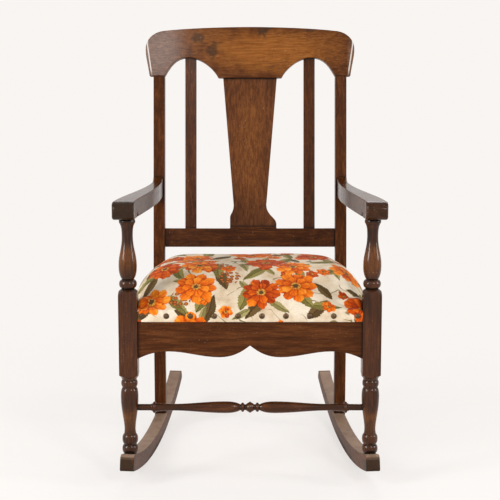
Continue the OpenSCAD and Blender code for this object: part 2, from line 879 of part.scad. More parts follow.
module seat_webbing() {
    color(jute) translate([0, 0, strap_level]) {
        for (k = strap_places) {
            rear_end = rear_rail_back - strap_margin;
            long_line = strap_line(apron_back, strap_thickness, rear_end, seat_middle, cross_pitch_y, k);
            translate([k * cross_pitch_x, 0, 0]) {
                across(strap_width) strap_outline(long_line);
                translate([-strap_width / 2, apron_back, weave_lift - strap_thickness / 2])
                    cube([strap_width, strap_thickness, strap_tab]);
            }
            y = seat_middle + k * cross_pitch_y;
            reach = frame_side(y + strap_width / 2) - strap_margin;
            translate([0, y, 0])
                backward(strap_width)
                    strap_outline(strap_line(-reach, strap_landing, reach, 0, cross_pitch_x, k + 1));
        }
    }
}

// Seat springs: hourglass coils of wire that stand on the webbing's crossings
coil_rings = 8;
wire_sides = 6;
spring_foot = rail_bottom + joint_clearance;
spring_waist_share = 1.5;
function unit(v) = v / norm(v);
spring_point_count = spring_turns * coil_rings;

spring_flare = spring_end_radius - spring_waist_radius;

function spring_radius(u) = spring_waist_radius + spring_flare * pow(abs(2 * u - 1), spring_waist_share);
function spring_rise(u) = spring_wire / 2 + (spring_height - spring_wire) * u * u * (3 - 2 * u);
function spring_point(i) =
    let (u = i / spring_point_count, a = 360 * i / coil_rings)
        [spring_radius(u) * cos(a), spring_radius(u) * sin(a), spring_rise(u)];
function wire_ring(i) =
    let (
        a = 360 * i / coil_rings,
        along = unit(spring_point(min(i + 1, spring_point_count)) - spring_point(max(i - 1, 0))),
        side = unit(cross(along, [cos(a), sin(a), 0])),
        outward = cross(side, along),
        half = spring_wire / 2
    )
        [
            for (k = [0 : wire_sides - 1])
                let (turn = 360 * k / wire_sides)
                    spring_point(i) + (outward * cos(turn) + side * sin(turn)) * half
        ];
spring_points = [for (i = [0 : spring_point_count]) for (p = wire_ring(i)) p];
spring_faces = concat(
    [[for (k = [wire_sides - 1 : -1 : 0]) k]],
    [
        for (i = [0 : spring_point_count - 1], k = [0 : wire_sides - 1], half = [0, 1])
            let (
                a = i * wire_sides + k,
                b = i * wire_sides + (k + 1) % wire_sides,
                c = b + wire_sides,
                d = a + wire_sides
            )
                half == 0 ? [a, b, c] : [a, c, d]
    ],
    [[for (k = [0 : wire_sides - 1]) spring_point_count * wire_sides + k]]
);
spring_least_gap = min([
    for (i = [0 : spring_point_count], j = [0 : spring_point_count])
        if (j - i > coil_rings / 2) norm(spring_point(i) - spring_point(j)) - spring_wire
]);

module seat_springs() {
    echo(spring_least_gap = spring_least_gap);
    color(steel)
        for (i = [-2, 0, 2], j = [-2, 0, 2])
            translate([i * cross_pitch_x, seat_middle + j * cross_pitch_y, spring_foot])
                polyhedron(points = spring_points, faces = spring_faces);
}

// Padded layers: closed shapes built of rings that follow the seat frame's outline. Each ring is
// scaled about the seat's middle, and the rings shrink and round off as they rise to the crown.
ring_corner_steps = 4;
ring_side_steps = 5;
ring_count = 4 * (ring_corner_steps + ring_side_steps);
pad_front = apron_front;
pad_back = rear_rail_back;
pad_middle = (pad_front + pad_back) / 2;
pad_half_depth = (pad_back - pad_front) / 2;
pad_corner = 3;
pad_corner_growth = 150;
pad_shoulder = 4;
cover_reach = seam_clearance + cover_thickness;
hem_level = seat_height - hem_drop;
dome_shares = [0.965, 0.93, 0.88, 0.81, 0.72, 0.60, 0.44, 0.24];
dome_fullness_share = 10;
dome_edge_share = 1.5;
dome_width_share = 0.8;
dome_depth_share = 2.2;
corner_limit_share = 0.9;

function dome_height(s) = crown_height * pow(1 - pow(s, dome_fullness_share), dome_edge_share);

// One ring: its scale from side to side, its growth outwards, its height, its scale from front to back
function pad_ring(s, grow, height, deep) =
    let (
        depth = pad_half_depth * deep + grow,
        corner = min(pad_corner + pad_corner_growth * (1 - s), depth * corner_limit_share),
        front = frame_side(pad_middle - (depth - corner) / deep) * s + grow,
        rear = frame_side(pad_middle + (depth - corner) / deep) * s + grow,
        corners = [[rear, depth], [-rear, depth], [-front, -depth], [front, -depth]],
        arcs = [
            for (k = [0 : 3], i = [0 : ring_corner_steps])
                let (a = 90 * (k + i / ring_corner_steps), c = corners[k])
                    [
                        c[0] - sign(c[0]) * corner + corner * cos(a),
                        c[1] - sign(c[1]) * corner + corner * sin(a)
                    ]
        ],
        count = len(arcs)
    )
        [
            for (i = [0 : count - 1])
                let (side_steps = (i + 1) % (ring_corner_steps + 1) == 0 ? ring_side_steps : 1)
                    for (t = [0 : side_steps - 1])
                        let (p = arcs[i] + (arcs[(i + 1) % count] - arcs[i]) * t / side_steps)
                            [p[0], pad_middle + p[1], height]
        ];

// Closes a stack of rings with a flat foot and a crown point
module pad_solid(rings, crown) {
    n = ring_count;
    last = len(rings) - 1;
    foot_point = [0, pad_middle, rings[0][0][2]];
    crown_point = [0, pad_middle, crown];
    points = concat([for (r = rings) for (p = r) p], [foot_point, crown_point]);
    faces = concat(
        [for (k = [0 : n - 1]) [n * (last + 1), k, (k + 1) % n]],
        [
            for (i = [0 : last - 1], k = [0 : n - 1], half = [0, 1])
                let (a = i * n + k, b = i * n + (k + 1) % n)
                    half == 0 ? [a, b + n, b] : [a, a + n, b + n]
        ],
        [for (k = [0 : n - 1]) [n * (last + 1) + 1, last * n + (k + 1) % n, last * n + k]]
    );
    polyhedron(points = points, faces = faces);
}

// The padded shape over the frame: straight down the rails from a foot height, domed above them
module pad_dome(grow, foot) {
    rings = concat(
        [pad_ring(1, grow, foot, 1), pad_ring(1, grow, seat_height + pad_shoulder, 1)],
        [
            for (s = dome_shares)
                pad_ring(
                    pow(s, dome_width_share),
                    grow,
                    seat_height + grow + dome_height(s),
                    pow(s, dome_depth_share)
                )
        ]
    );
    pad_solid(rings, seat_height + grow + crown_height);
}

// The hessian lies on the rails' tops and is carried up over the springs
spring_top = spring_foot + spring_height;
hessian_edge_share = 0.965;
hessian_slope_shares = [0.93, 0.86];

module hessian_shape(grow) {
    lip = seat_height + hessian_thickness + grow;
    top = spring_top + seam_clearance + hessian_thickness + grow;
    edge = hessian_edge_share;
    slope_foot = hessian_slope_shares[0];
    slope_head = hessian_slope_shares[1];
    pad_solid(
        [
            pad_ring(edge, grow, seat_height, edge),
            pad_ring(edge, grow, lip, edge),
            pad_ring(slope_foot, grow, lip, slope_foot),
            pad_ring(slope_head, grow, top, slope_head)
        ],
        top
    );
}

// Space kept free for the four posts: it reaches out from each post's inner corner
module post_notches(grow, foot) {
    notch = block_size + 2 * cover_reach;
    rise = arm_height - foot;
    for (side = [LEFT, RIGHT]) mirror([side == LEFT ? 1 : 0, 0, 0]) {
        translate([apron_half_length - grow, side_front_y + grow - notch, foot]) cube([notch, notch, rise]);
        translate([rear_rail_half - grow, side_rear_y - grow, foot]) cube([notch, notch, rise]);
    }
}

module spring_hessian() {
    color(jute) difference() {
        hessian_shape(0);
        translate([0, 0, -hessian_thickness]) hessian_shape(0);
        post_notches(seam_clearance, rail_bottom);
    }
}

module seat_stuffing() {
    color(cotton) difference() {
        pad_dome(-seam_clearance, seat_height + seam_clearance);
        hessian_shape(seam_clearance);
        post_notches(seam_clearance + cover_reach, rail_bottom);
    }
}

module seat_cover() {
    color(print_orange) difference() {
        pad_dome(cover_reach, hem_level);
        post_notches(seam_clearance, rail_bottom);
        difference() {
            pad_dome(seam_clearance, hem_level - overrun);
            post_notches(cover_reach, seat_height + seam_clearance);
        }
        nail_set(joint_clearance);
    }
}

// Upholstery nails: domed heads in a row above the cover's hem, on all four sides
nail_rise = 14;
nail_margin = 12;
nail_head_height = 3;
nail_shank_radius = 1;
nail_shank_length = 13;
nail_level = hem_level + nail_rise;
nail_head_radius = nail_head_diameter / 2;
nail_sphere_radius = (pow(nail_head_radius, 2) + pow(nail_head_height, 2)) / (2 * nail_head_height);

module nail(grow) {
    if (grow == 0)
        intersection() {
            translate([0, 0, nail_head_height - nail_sphere_radius])
                sphere(r = nail_sphere_radius, $fn = fine_steps);
            cylinder(r = nail_head_radius, h = nail_sphere_radius, $fn = fine_steps);
        }
    translate([0, 0, -nail_shank_length - grow])
        cylinder(
            r = nail_shank_radius + grow,
            h = nail_shank_length + grow + joint_clearance,
            $fn = fine_steps
        );
}

// Even places between two ends, no farther apart than the pitch
function nail_places(a, b) =
    let (gaps = ceil((b - a) / nail_pitch)) [for (i = [0 : gaps]) a + (b - a) * i / gaps];

module nail_set(grow) {
    front_half = apron_half_length - nail_margin;
    rear_half = rear_rail_half - nail_margin;
    for (x = nail_places(-front_half, front_half))
        translate([x, pad_front - cover_reach, nail_level]) rotate([90, 0, 0]) nail(grow);
    for (x = nail_places(-rear_half, rear_half))
        translate([x, pad_back + cover_reach, nail_level]) rotate([-90, 0, 0]) nail(grow);
    for (side = [LEFT, RIGHT], y = nail_places(side_front_y + nail_margin, side_rear_y - nail_margin))
        translate([side * (frame_side(y) + cover_reach), y, nail_level])
            rotate([0, side * 90, side * side_angle])
                nail(grow);
}

module upholstery_nails() {
    color(bronze) nail_set(0);
}

placed() crest_rail();
placed() splat();
placed() slat(LEFT);  // left_slat
placed() slat(RIGHT);  // right_slat
placed() lower_back_rail();
placed() rear_post(LEFT);  // left_rear_post
placed() rear_post(RIGHT);  // right_rear_post
placed() front_post(LEFT);  // left_front_post
placed() front_post(RIGHT);  // right_front_post
placed() arm(LEFT);  // left_arm
placed() arm(RIGHT);  // right_arm
placed() arm_screws();
placed() front_apron();
placed() side_rail(LEFT);  // left_side_rail
placed() side_rail(RIGHT);  // right_side_rail
placed() rear_seat_rail();
placed() corner_blocks();
placed() corner_block_screws();
placed() rail_dowels();
placed() front_stretcher();
placed() rocker(LEFT);  // left_rocker
placed() rocker(RIGHT);  // right_rocker
placed() seat_webbing();
placed() seat_springs();
placed() spring_hessian();
placed() seat_stuffing();
placed() seat_cover();
placed() upholstery_nails();
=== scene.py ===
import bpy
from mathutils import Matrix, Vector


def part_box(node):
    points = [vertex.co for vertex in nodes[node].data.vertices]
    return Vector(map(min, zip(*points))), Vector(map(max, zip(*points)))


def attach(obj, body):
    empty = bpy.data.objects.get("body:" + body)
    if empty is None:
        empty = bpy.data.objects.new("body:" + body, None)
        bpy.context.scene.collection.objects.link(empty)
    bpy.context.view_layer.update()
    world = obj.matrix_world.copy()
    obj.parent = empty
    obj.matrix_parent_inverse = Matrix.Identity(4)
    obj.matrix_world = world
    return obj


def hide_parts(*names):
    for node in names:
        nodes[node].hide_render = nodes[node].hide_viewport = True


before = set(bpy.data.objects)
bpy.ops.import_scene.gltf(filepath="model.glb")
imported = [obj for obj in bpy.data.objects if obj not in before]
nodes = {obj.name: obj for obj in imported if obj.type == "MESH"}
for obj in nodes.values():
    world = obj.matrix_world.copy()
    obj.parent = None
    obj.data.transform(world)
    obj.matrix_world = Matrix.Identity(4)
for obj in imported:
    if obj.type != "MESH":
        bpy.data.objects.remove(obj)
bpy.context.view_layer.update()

# Looks of the arm rocking chair: old varnished wood, a sprung seat in printed cloth, nails and webbing.
# Lengths are in metres in the chair's frame, with x to the right, y to the back and z up.

import math

import bpy
import numpy as np
from mathutils import Vector

# Boxes of the CAD nodes that the looks are placed by
STRETCHER_LOW, STRETCHER_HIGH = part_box("front_stretcher")
APRON_LOW, APRON_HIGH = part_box("front_apron")
REAR_RAIL_LOW, REAR_RAIL_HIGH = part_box("rear_seat_rail")
RAIL_LOW, RAIL_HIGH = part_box("right_side_rail")
COVER_LOW, COVER_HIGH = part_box("seat_cover")
HESSIAN_LOW, HESSIAN_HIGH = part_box("spring_hessian")
SPRING_LOW, SPRING_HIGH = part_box("seat_springs")
CREST_LOW, CREST_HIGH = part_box("crest_rail")
SPLAT_LOW, SPLAT_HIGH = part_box("splat")
ARM_LOW, ARM_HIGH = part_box("right_arm")
ROCKER_LOW, ROCKER_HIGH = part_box("right_rocker")

# Places in the CAD
FRONT_POST_X = 0.275
FRONT_POST_Y = (STRETCHER_LOW.y + STRETCHER_HIGH.y) / 2
STRETCHER_Z = (STRETCHER_LOW.z + STRETCHER_HIGH.z) / 2
APRON_HALF = APRON_HIGH.x
REAR_HALF = REAR_RAIL_HIGH.x
RAIL_TOP = RAIL_HIGH.z
SIDE_FRONT_Y = RAIL_LOW.y
SIDE_REAR_Y = 0.1072
STRIP_REAR_Y = SIDE_REAR_Y + 0.008
HEM_Z = COVER_LOW.z


class Value:
    """A number, colour or shader inside a node tree, which formulas can use."""

    def __init__(self, tree, socket):
        self.tree, self.socket = tree, socket

    def __add__(self, o): return self.tree.math("ADD", self, o)
    def __sub__(self, o): return self.tree.math("SUBTRACT", self, o)
    def __rsub__(self, o): return self.tree.math("SUBTRACT", o, self)
    def __mul__(self, o): return self.tree.math("MULTIPLY", self, o)
    def __truediv__(self, o): return self.tree.math("DIVIDE", self, o)


class Tree:
    """Builds the nodes of a material or of the world."""

    def __init__(self, owner):
        owner.use_nodes = True
        self.graph = owner.node_tree
        self.graph.nodes.clear()

    def node(self, kind, inputs=None, **settings):
        n = self.graph.nodes.new("ShaderNode" + kind)
        for key, value in settings.items():
            setattr(n, key, value)
        for key, value in (inputs or {}).items():
            self.put(n.inputs[key], value)
        return n

    def put(self, socket, value):
        if isinstance(value, Value):
            self.graph.links.new(value.socket, socket)
        elif socket.type == "RGBA":
            socket.default_value = (*value[:3], 1.0)
        else:
            socket.default_value = value

    def out(self, kind, name, inputs=None, **settings):
        """A new node's named or numbered output."""
        return Value(self, self.node(kind, inputs, **settings).outputs[name])

    def math(self, operation, *args, clamp=False):
        return self.out("Math", 0, dict(enumerate(args)), operation=operation, use_clamp=clamp)

    def vector(self, operation, *args):
        n = self.node("VectorMath", operation=operation)
        for i, a in enumerate(args):
            self.put(n.inputs[3 if operation == "SCALE" and i == 1 else i], a)
        return Value(self, n.outputs[1 if operation in ("LENGTH", "DOT_PRODUCT") else 0])

    def xyz(self, value):
        n = self.node("SeparateXYZ", {0: value})
        return [Value(self, n.outputs[i]) for i in range(3)]

    def combine(self, x, y, z=0.0):
        return self.out("CombineXYZ", 0, {0: x, 1: y, 2: z})

    def place(self):
        return self.out("TexCoord", "Object")

    def uv(self, name):
        return self.out("UVMap", 0, uv_map=name)

    def noise(self, vector, scale, detail=2.0, roughness=0.5, distortion=0.0, colour=False):
        inputs = {"Vector": vector, "Scale": scale, "Detail": detail, "Roughness": roughness, "Distortion": distortion}
        return self.out("TexNoise", "Color" if colour else "Fac", inputs)

    def step(self, value, low, high):
        """Rises smoothly from 0 at low to 1 at high."""
        return self.out("MapRange", 0, {0: value, 1: low, 2: high}, interpolation_type="SMOOTHSTEP", clamp=True)

    def ramp(self, value, stops):
        n = self.node("ValToRGB", {0: value})
        band = n.color_ramp
        while len(band.elements) < len(stops):
            band.elements.new(0.5)
        for element, (at, colour) in zip(band.elements, stops):
            element.position = at
            element.color = (*colour, 1.0)
        return Value(self, n.outputs[0])

    def mix(self, share, a, b, blend="MIX"):
        return self.out("Mix", 2, {0: share, 6: a, 7: b}, data_type="RGBA", blend_type=blend)

    def bump(self, height, distance, strength=1.0, under=None):
        inputs = {"Height": height, "Distance": distance, "Strength": strength}
        if under is not None:
            inputs["Normal"] = under
        return self.out("Bump", 0, inputs)

    def seen(self):
        """1 for rays that show a thing: from the camera, off a gloss or through something clear."""
        rays = self.node("LightPath").outputs
        camera, gloss, through = (Value(self, rays[f"Is {kind} Ray"]) for kind in ("Camera", "Glossy", "Transmission"))
        return self.math("MAXIMUM", camera, self.math("MAXIMUM", gloss, through))


class Surface(Tree):
    """Builds one material around a principled shader."""

    def __init__(self, name):
        self.material = bpy.data.materials.new(name)
        super().__init__(self.material)
        self.shader = self.node("BsdfPrincipled")
        self.output = self.node("OutputMaterial", {"Surface": Value(self, self.shader.outputs[0])})

    def set(self, **inputs):
        for key, value in inputs.items():
            self.put(self.shader.inputs[key.replace("_", " ")], value)


# Wood

WOOD_DARK = (0.016, 0.0056, 0.0022)
WOOD_MID = (0.064, 0.0180, 0.0040)
WOOD_LIGHT = (0.160, 0.0520, 0.0130)
GOLD_DARK = (0.095, 0.026, 0.0045)
GOLD = (0.185, 0.056, 0.0085)
GOLD_LIGHT = (0.32, 0.118, 0.024)
# Colour of the pores, and of the painted shade and dirt in corners and grooves
SHADE_AND_GRIME = (0.0075, 0.0048, 0.0030)
# Colour of dust and of a painted sheen on upward faces
DUST_AND_SHEEN = (0.330, 0.225, 0.160)
STAIN = (0.024, 0.015, 0.009)
# Colours of the painted sheen patches
SHEEN_DARK = (0.085, 0.044, 0.028)
SHEEN_LIGHT = (0.27, 0.150, 0.100)
SPECK = (0.45, 0.36, 0.27)
# Colour of the painted highlight line on the crest rail's ends
END_HIGHLIGHT = (0.62, 0.58, 0.54)
SCRATCH = (0.42, 0.25, 0.13)
ALONG = {"x": (0.07, 1.0, 1.0), "y": (1.0, 0.07, 1.0), "z": (1.0, 1.0, 0.07)}

# The crest rail's half length at its foot, its growth towards the top, and how far in its painted highlight lines at
# the ends are
END_HALF, END_GROWTH, END_INSET = 0.2588, 0.0117, 0.0046


def reach(t, place, centre, radii):
    """Distance from a patch's centre, with 1 at its radii."""
    return t.vector("LENGTH", t.vector("DIVIDE", t.vector("SUBTRACT", place, centre), radii))


def painted_end_highlight(t, place):
    """Mask of a painted highlight line along both ends of the crest rail."""
    x, _, z = t.xyz(place)
    rise = (z - CREST_LOW.z) / (CREST_HIGH.z - CREST_LOW.z)
    edge = t.math("MINIMUM", t.math("MAXIMUM", (rise - 0.05) / 0.60, 0.0), 1.0) * END_GROWTH + END_HALF
    off = t.math("ABSOLUTE", edge - t.math("ABSOLUTE", x) - END_INSET)
    return t.step(off, 0.0022, 0.0009) * t.step(rise, 0.04, 0.22) * t.step(rise, 0.86, 0.70)


def scratch_mask(t, place, moved, start, end, width):
    """A straight scratch with a ragged edge."""
    a, b = Vector(start), Vector(end)
    along = (b - a).normalized()
    offset = t.vector("SUBTRACT", place, tuple(a))
    run = t.vector("DOT_PRODUCT", offset, tuple(along))
    inside = t.step(run, 0.0, 0.004) * t.step(run, (b - a).length, (b - a).length - 0.006)
    off = t.vector("LENGTH", t.vector("SUBTRACT", offset, t.vector("SCALE", tuple(along), run)))
    return t.step(off + (t.noise(moved, 160.0, 2.0) - 0.5) * 0.0015, width, width * 0.4) * inside


def wood(name, grain, tone=0.0, shine=0.27, worn=(), stained=(), sheen_patches=(), dust_and_sheen=0.0, coat=0.09, groove=0.022,
         scratches=(), necks=None, edge_wear=0.25, end_highlights=False):
    """Old varnished hardwood.

    worn and stained give (centre, radii, strength) patches of wear and stain, and the next argument gives such patches
    of painted sheen; scratches are (start, end, width), and necks is a turned piece's (axis, middle, thin radius,
    thick radius), between which its painted shade and dirt fade out.
    """
    t = Surface(name)
    place = t.place()
    seed = sum(map(ord, name)) % 97 * 0.31
    moved = t.vector("ADD", place, (seed, seed * 0.7, seed * 1.3))
    stretched = t.vector("MULTIPLY", moved, ALONG[grain])
    ruffle = t.noise(moved, 34.0, 4.0, 0.65)
    _, back, up = t.xyz(t.out("NewGeometry", "Normal"))
    front = t.step(back, 0.3, -0.1)

    # The figure, from broad rings to fine pores
    figure = t.noise(stretched, 17.0, 3.0, 0.5, 0.35)
    rings = t.math("SINE", figure * 62.0) * 0.5 + 0.5
    bands = t.noise(stretched, 70.0, 3.0, 0.6)
    fibre = t.noise(stretched, 620.0, 3.0, 0.65)
    streak = t.step(t.noise(stretched, 250.0, 3.0, 0.7), 0.34, 0.68)
    pores = t.step(t.noise(stretched, 1500.0, 2.0, 0.5), 0.60, 0.70)
    checks = t.step(t.noise(stretched, 380.0, 3.0, 0.6), 0.56, 0.66) * t.step(t.noise(moved, 13.0), 0.35, 0.60)
    patch = t.noise(moved, 7.0, 3.0, 0.55)
    tone_value = (rings * 0.11 + bands * 0.24 + fibre * 0.24 + patch * 0.36 + streak * 0.20) - 0.07 + tone
    colour = t.ramp(tone_value, [(0.18, WOOD_DARK), (0.50, WOOD_MID), (0.86, WOOD_LIGHT)])

    # Worn and stained patches, and patches of painted sheen
    wear = None
    for centre, radii, strength in worn:
        mask = t.step(reach(t, place, centre, radii) + (ruffle - 0.5) * 0.9, 1.25, 0.35) * strength
        wear = mask if wear is None else t.math("MAXIMUM", wear, mask)
    if wear is not None:
        gold = t.mix(fibre * 0.5 + bands * 0.35 + streak * 0.65 - 0.32, t.mix(rings * 0.5, GOLD, GOLD_DARK), GOLD_LIGHT)
        colour = t.mix(wear, colour, gold)
    for centre, radii, strength in stained:
        rough_edge = (t.noise(moved, 75.0, 5.0, 0.75) - 0.5) * 1.8 + (t.noise(moved, 24.0, 2.0) - 0.5) * 2.6
        mask = t.step(reach(t, place, centre, radii) + rough_edge, 1.20, 0.55) * front * strength
        colour = t.mix(mask, colour, STAIN)
    # Patches of painted sheen
    for centre, radii, strength in sheen_patches:
        mask = t.step(reach(t, place, centre, radii) + (ruffle - 0.5) * 0.5, 1.1, 0.2) * strength
        colour = t.mix(mask, colour, t.mix(fibre * 0.4 + streak * 0.6, SHEEN_DARK, SHEEN_LIGHT))
    colour = t.mix(t.math("MAXIMUM", pores * 0.55, checks * 0.38), colour, t.mix(0.5, WOOD_DARK, SHADE_AND_GRIME))

    # Painted shade and dirt darken the corners and grooves, and handling lightens the edges
    corners = t.out("AmbientOcclusion", "AO", {"Distance": groove}, samples=8)
    shade_and_dirt = t.step(corners + (ruffle - 0.5) * 0.25, 0.94, 0.55)
    colour = t.mix(shade_and_dirt * 0.92, colour, SHADE_AND_GRIME)
    # Painted shade and dirt deepen in the thin necks of turned pieces
    if necks:
        axis, middle, thin, thick = necks
        x, y, z = t.xyz(place)
        if axis == "z":
            out = t.combine(t.math("ABSOLUTE", x) - middle[0], y - middle[1])
        else:
            out = t.combine(y - middle[0], z - middle[1])
        far = t.vector("LENGTH", out) + (ruffle - 0.5) * 0.004
        colour = t.mix(t.step(far, thick, thin) * 0.42, colour, SHADE_AND_GRIME)
    edges = t.out("AmbientOcclusion", "AO", {"Distance": 0.0035}, samples=8, inside=True)
    rubbed = t.step(edges + (ruffle - 0.5) * 0.8, 0.62, 0.30)
    colour = t.mix(rubbed * edge_wear, colour, t.mix(0.35, GOLD, WOOD_LIGHT))
    specks = t.step(t.noise(moved, 410.0, 1.0, 0.4), 0.745, 0.775) * t.step(patch, 0.40, 0.62)
    colour = t.mix(specks * 0.55, colour, SPECK)
    # A painted highlight line along the crest rail's ends
    if end_highlights:
        colour = t.mix(painted_end_highlight(t, place) * front * 0.85, colour, END_HIGHLIGHT)

    # Dust, with a painted sheen, makes what faces up paler
    rough = fibre * 0.10 + patch * 0.10 + shade_and_dirt * 0.22 + (shine - 0.10)
    if dust_and_sheen:
        film = (t.step(up, 0.55, 0.95) * 0.82 + 0.18) * (t.noise(moved, 26.0, 4.0, 0.65) * 1.5 + 0.15) * dust_and_sheen
        film = t.math("MINIMUM", film, 0.95) * (1.0 - front * t.step(up, 0.5, 0.2) * 0.9)
        colour = t.mix(film, colour, DUST_AND_SHEEN)
        rough = rough + film * 0.22
    for start, end, width in scratches:
        colour = t.mix(scratch_mask(t, place, moved, start, end, width) * 0.75, colour, SCRATCH)

    t.set(Base_Color=colour, Roughness=t.math("MINIMUM", rough, 0.85), IOR=1.5, Specular_IOR_Level=0.05,
          Coat_Weight=coat, Coat_Roughness=0.16, Coat_IOR=1.5)
    height = fibre * 0.35 - pores * 0.5 + rings * 0.1
    waves = t.bump(t.noise(moved, 48.0, 2.0), 0.0016, 0.35)
    t.set(Normal=t.bump(height, 0.00025, 0.7, waves))
    return t.material


WELD_GAP = 0.00001
FLAT_DEGREES = 0.4
NORMAL_WEIGHT = 60


def dress(node, material, bevel=0.001, limit=32, segments=2, clamp=False):
    """Gives a CAD node its finish and eases its edges that are sharper than the limit in degrees."""
    piece = nodes[node]
    piece.data.materials.clear()
    piece.data.materials.append(material)
    weld = piece.modifiers.new("weld", "WELD")
    weld.merge_threshold = WELD_GAP
    flat = piece.modifiers.new("flat", "DECIMATE")
    flat.decimate_type = "DISSOLVE"
    flat.angle_limit = math.radians(FLAT_DEGREES)
    if bevel:
        ease = piece.modifiers.new("ease", "BEVEL")
        ease.width = bevel
        ease.segments = segments
        ease.limit_method = "ANGLE"
        ease.angle_limit = math.radians(limit)
        ease.use_clamp_overlap = clamp
        ease.miter_outer = "MITER_ARC"
    flow = piece.modifiers.new("normals", "WEIGHTED_NORMAL")
    flow.keep_sharp = False
    flow.weight = NORMAL_WEIGHT


def on_crest(x, rise):
    """A point on the crest rail's front: x across, rise as a share of its height."""
    return (x, (CREST_LOW.y + CREST_HIGH.y) / 2, CREST_LOW.z + (CREST_HIGH.z - CREST_LOW.z) * rise)


WORN_CREST = (
    (on_crest(0.05, 0.55), (0.20, 0.2, 0.062), 0.95),
    (on_crest(-0.10, 0.80), (0.10, 0.2, 0.03), 0.55),
    (on_crest(0.20, 0.62), (0.06, 0.2, 0.045), 0.5),
)
STAINED_CREST = (
    (on_crest(-0.135, 0.78), (0.024, 0.2, 0.013), 0.6),
    (on_crest(-0.098, 0.55), (0.015, 0.2, 0.024), 0.62),
    (on_crest(0.035, 0.93), (0.026, 0.2, 0.020), 0.75),
    (on_crest(0.160, 0.95), (0.018, 0.2, 0.007), 0.6),
    (on_crest(0.060, 0.24), (0.020, 0.2, 0.008), 0.35),
)
# Painted sheen on the crest rail's ends
CREST_SHEEN = (
    (on_crest(-0.245, 0.55), (0.095, 0.2, 0.09), 0.6),
    (on_crest(0.262, 0.35), (0.012, 0.2, 0.08), 0.7),
)
CREST_SCRATCHES = (
    (on_crest(0.005, 0.26), on_crest(0.085, 0.285), 0.0006),
    (on_crest(0.028, 0.30), on_crest(0.060, 0.305), 0.0005),
)
WORN_SPLAT = (((0.0, (SPLAT_LOW.y + SPLAT_HIGH.y) / 2, SPLAT_LOW.z + 0.22), (0.045, 0.2, 0.20), 0.28),)
WORN_TURNED = [((side * FRONT_POST_X, FRONT_POST_Y, z), (0.03, 0.03, 0.040), 0.42)
               for side in (-1, 1) for z in (0.145, 0.525)]
STAINED_ARM_NOSES = [((side * (ARM_HIGH.x - 0.025), ARM_LOW.y, ARM_HIGH.z - 0.02), (0.06, 0.032, 0.06), strength)
                     for side, strength in ((-1, 0.85), (1, 0.55))]
STAINED_ROCKER_NOSES = [((side * (ROCKER_HIGH.x - 0.016), ROCKER_LOW.y, ROCKER_LOW.z + 0.03), (0.05, 0.03, 0.05), 0.85)
                        for side in (-1, 1)]
POST_NECKS = ("z", (FRONT_POST_X, FRONT_POST_Y), 0.0125, 0.0170)
STRETCHER_NECKS = ("x", (FRONT_POST_Y, STRETCHER_Z), 0.0060, 0.0095)

crest_wood = wood("crest_wood", "x", 0.05, 0.30, WORN_CREST, STAINED_CREST, CREST_SHEEN, coat=0.13,
                  scratches=CREST_SCRATCHES, edge_wear=0.0, end_highlights=True)
turned_wood = wood("turned_wood", "z", -0.09, 0.20, WORN_TURNED, coat=0.42, groove=0.014, necks=POST_NECKS)
stretcher_wood = wood("stretcher_wood", "x", -0.05, 0.22, coat=0.34, groove=0.014, necks=STRETCHER_NECKS)
slat_wood = wood("slat_wood", "z", -0.02, 0.38, coat=0.2)
post_wood = wood("rear_post_wood", "z", 0.0, 0.32)
arm_wood = wood("arm_wood", "y", -0.05, 0.22, (), STAINED_ARM_NOSES, coat=0.17)
rocker_wood = wood("rocker_wood", "y", 0.08, 0.40, (), STAINED_ROCKER_NOSES, dust_and_sheen=0.85, coat=0.03)
rail_wood = wood("rail_wood", "y", -0.06, 0.45, coat=0.1)

dress("crest_rail", crest_wood, 0.002, 40, 4)
dress("splat", wood("splat_wood", "z", 0.10, 0.34, WORN_SPLAT, coat=0.2))
dress("lower_back_rail", wood("lower_rail_wood", "x", -0.04, 0.33))
dress("front_stretcher", stretcher_wood, 0.0006, 30)
dress("front_apron", wood("apron_wood", "x", 0.02, 0.30))
dress("rear_seat_rail", wood("rear_rail_wood", "x", -0.06, 0.45, coat=0.1))
for hand in ("left", "right"):
    dress(hand + "_slat", slat_wood)
    dress(hand + "_rear_post", post_wood)
    dress(hand + "_front_post", turned_wood, 0.001, 30, clamp=True)
    dress(hand + "_arm", arm_wood, 0.003, 40, 4)
    dress(hand + "_rocker", rocker_wood, 0.0011, 40, 3)
    dress(hand + "_side_rail", rail_wood)


def raw_wood(name, scale=1.0):
    """Unfinished pale wood, darkened by age and glue."""
    t = Surface(name)
    place = t.place()
    grain = t.noise(t.vector("MULTIPLY", place, (1.0, 0.12, 1.0)), 260.0 * scale, 4.0, 0.6)
    tone = t.noise(place, 30.0, 4.0, 0.6)
    colour = t.ramp(grain * 0.6 + tone * 0.4,
                    [(0.25, (0.16, 0.085, 0.038)), (0.55, (0.33, 0.20, 0.10)), (0.8, (0.47, 0.31, 0.17))])
    t.set(Base_Color=colour, Roughness=grain * 0.2 + 0.6)
    t.set(Normal=t.bump(grain, 0.0003, 0.6))
    return t.material


def metal(name, dark, light, roughness, rust, metallic=1.0):
    """Aged metal: a dull base with worn spots and a film of rust or tarnish."""
    t = Surface(name)
    place = t.place()
    spots = t.noise(place, 420.0, 4.0, 0.7)
    film = t.step(t.noise(place, 160.0, 4.0, 0.65), 0.48, 0.68)
    colour = t.mix(t.step(spots, 0.35, 0.7), dark, light)
    t.set(Base_Color=t.mix(film * 0.7, colour, rust), Metallic=metallic,
          Roughness=spots * 0.25 + film * 0.2 + (roughness - 0.15))
    t.set(Normal=t.bump(spots, 0.0002, 0.5))
    return t.material


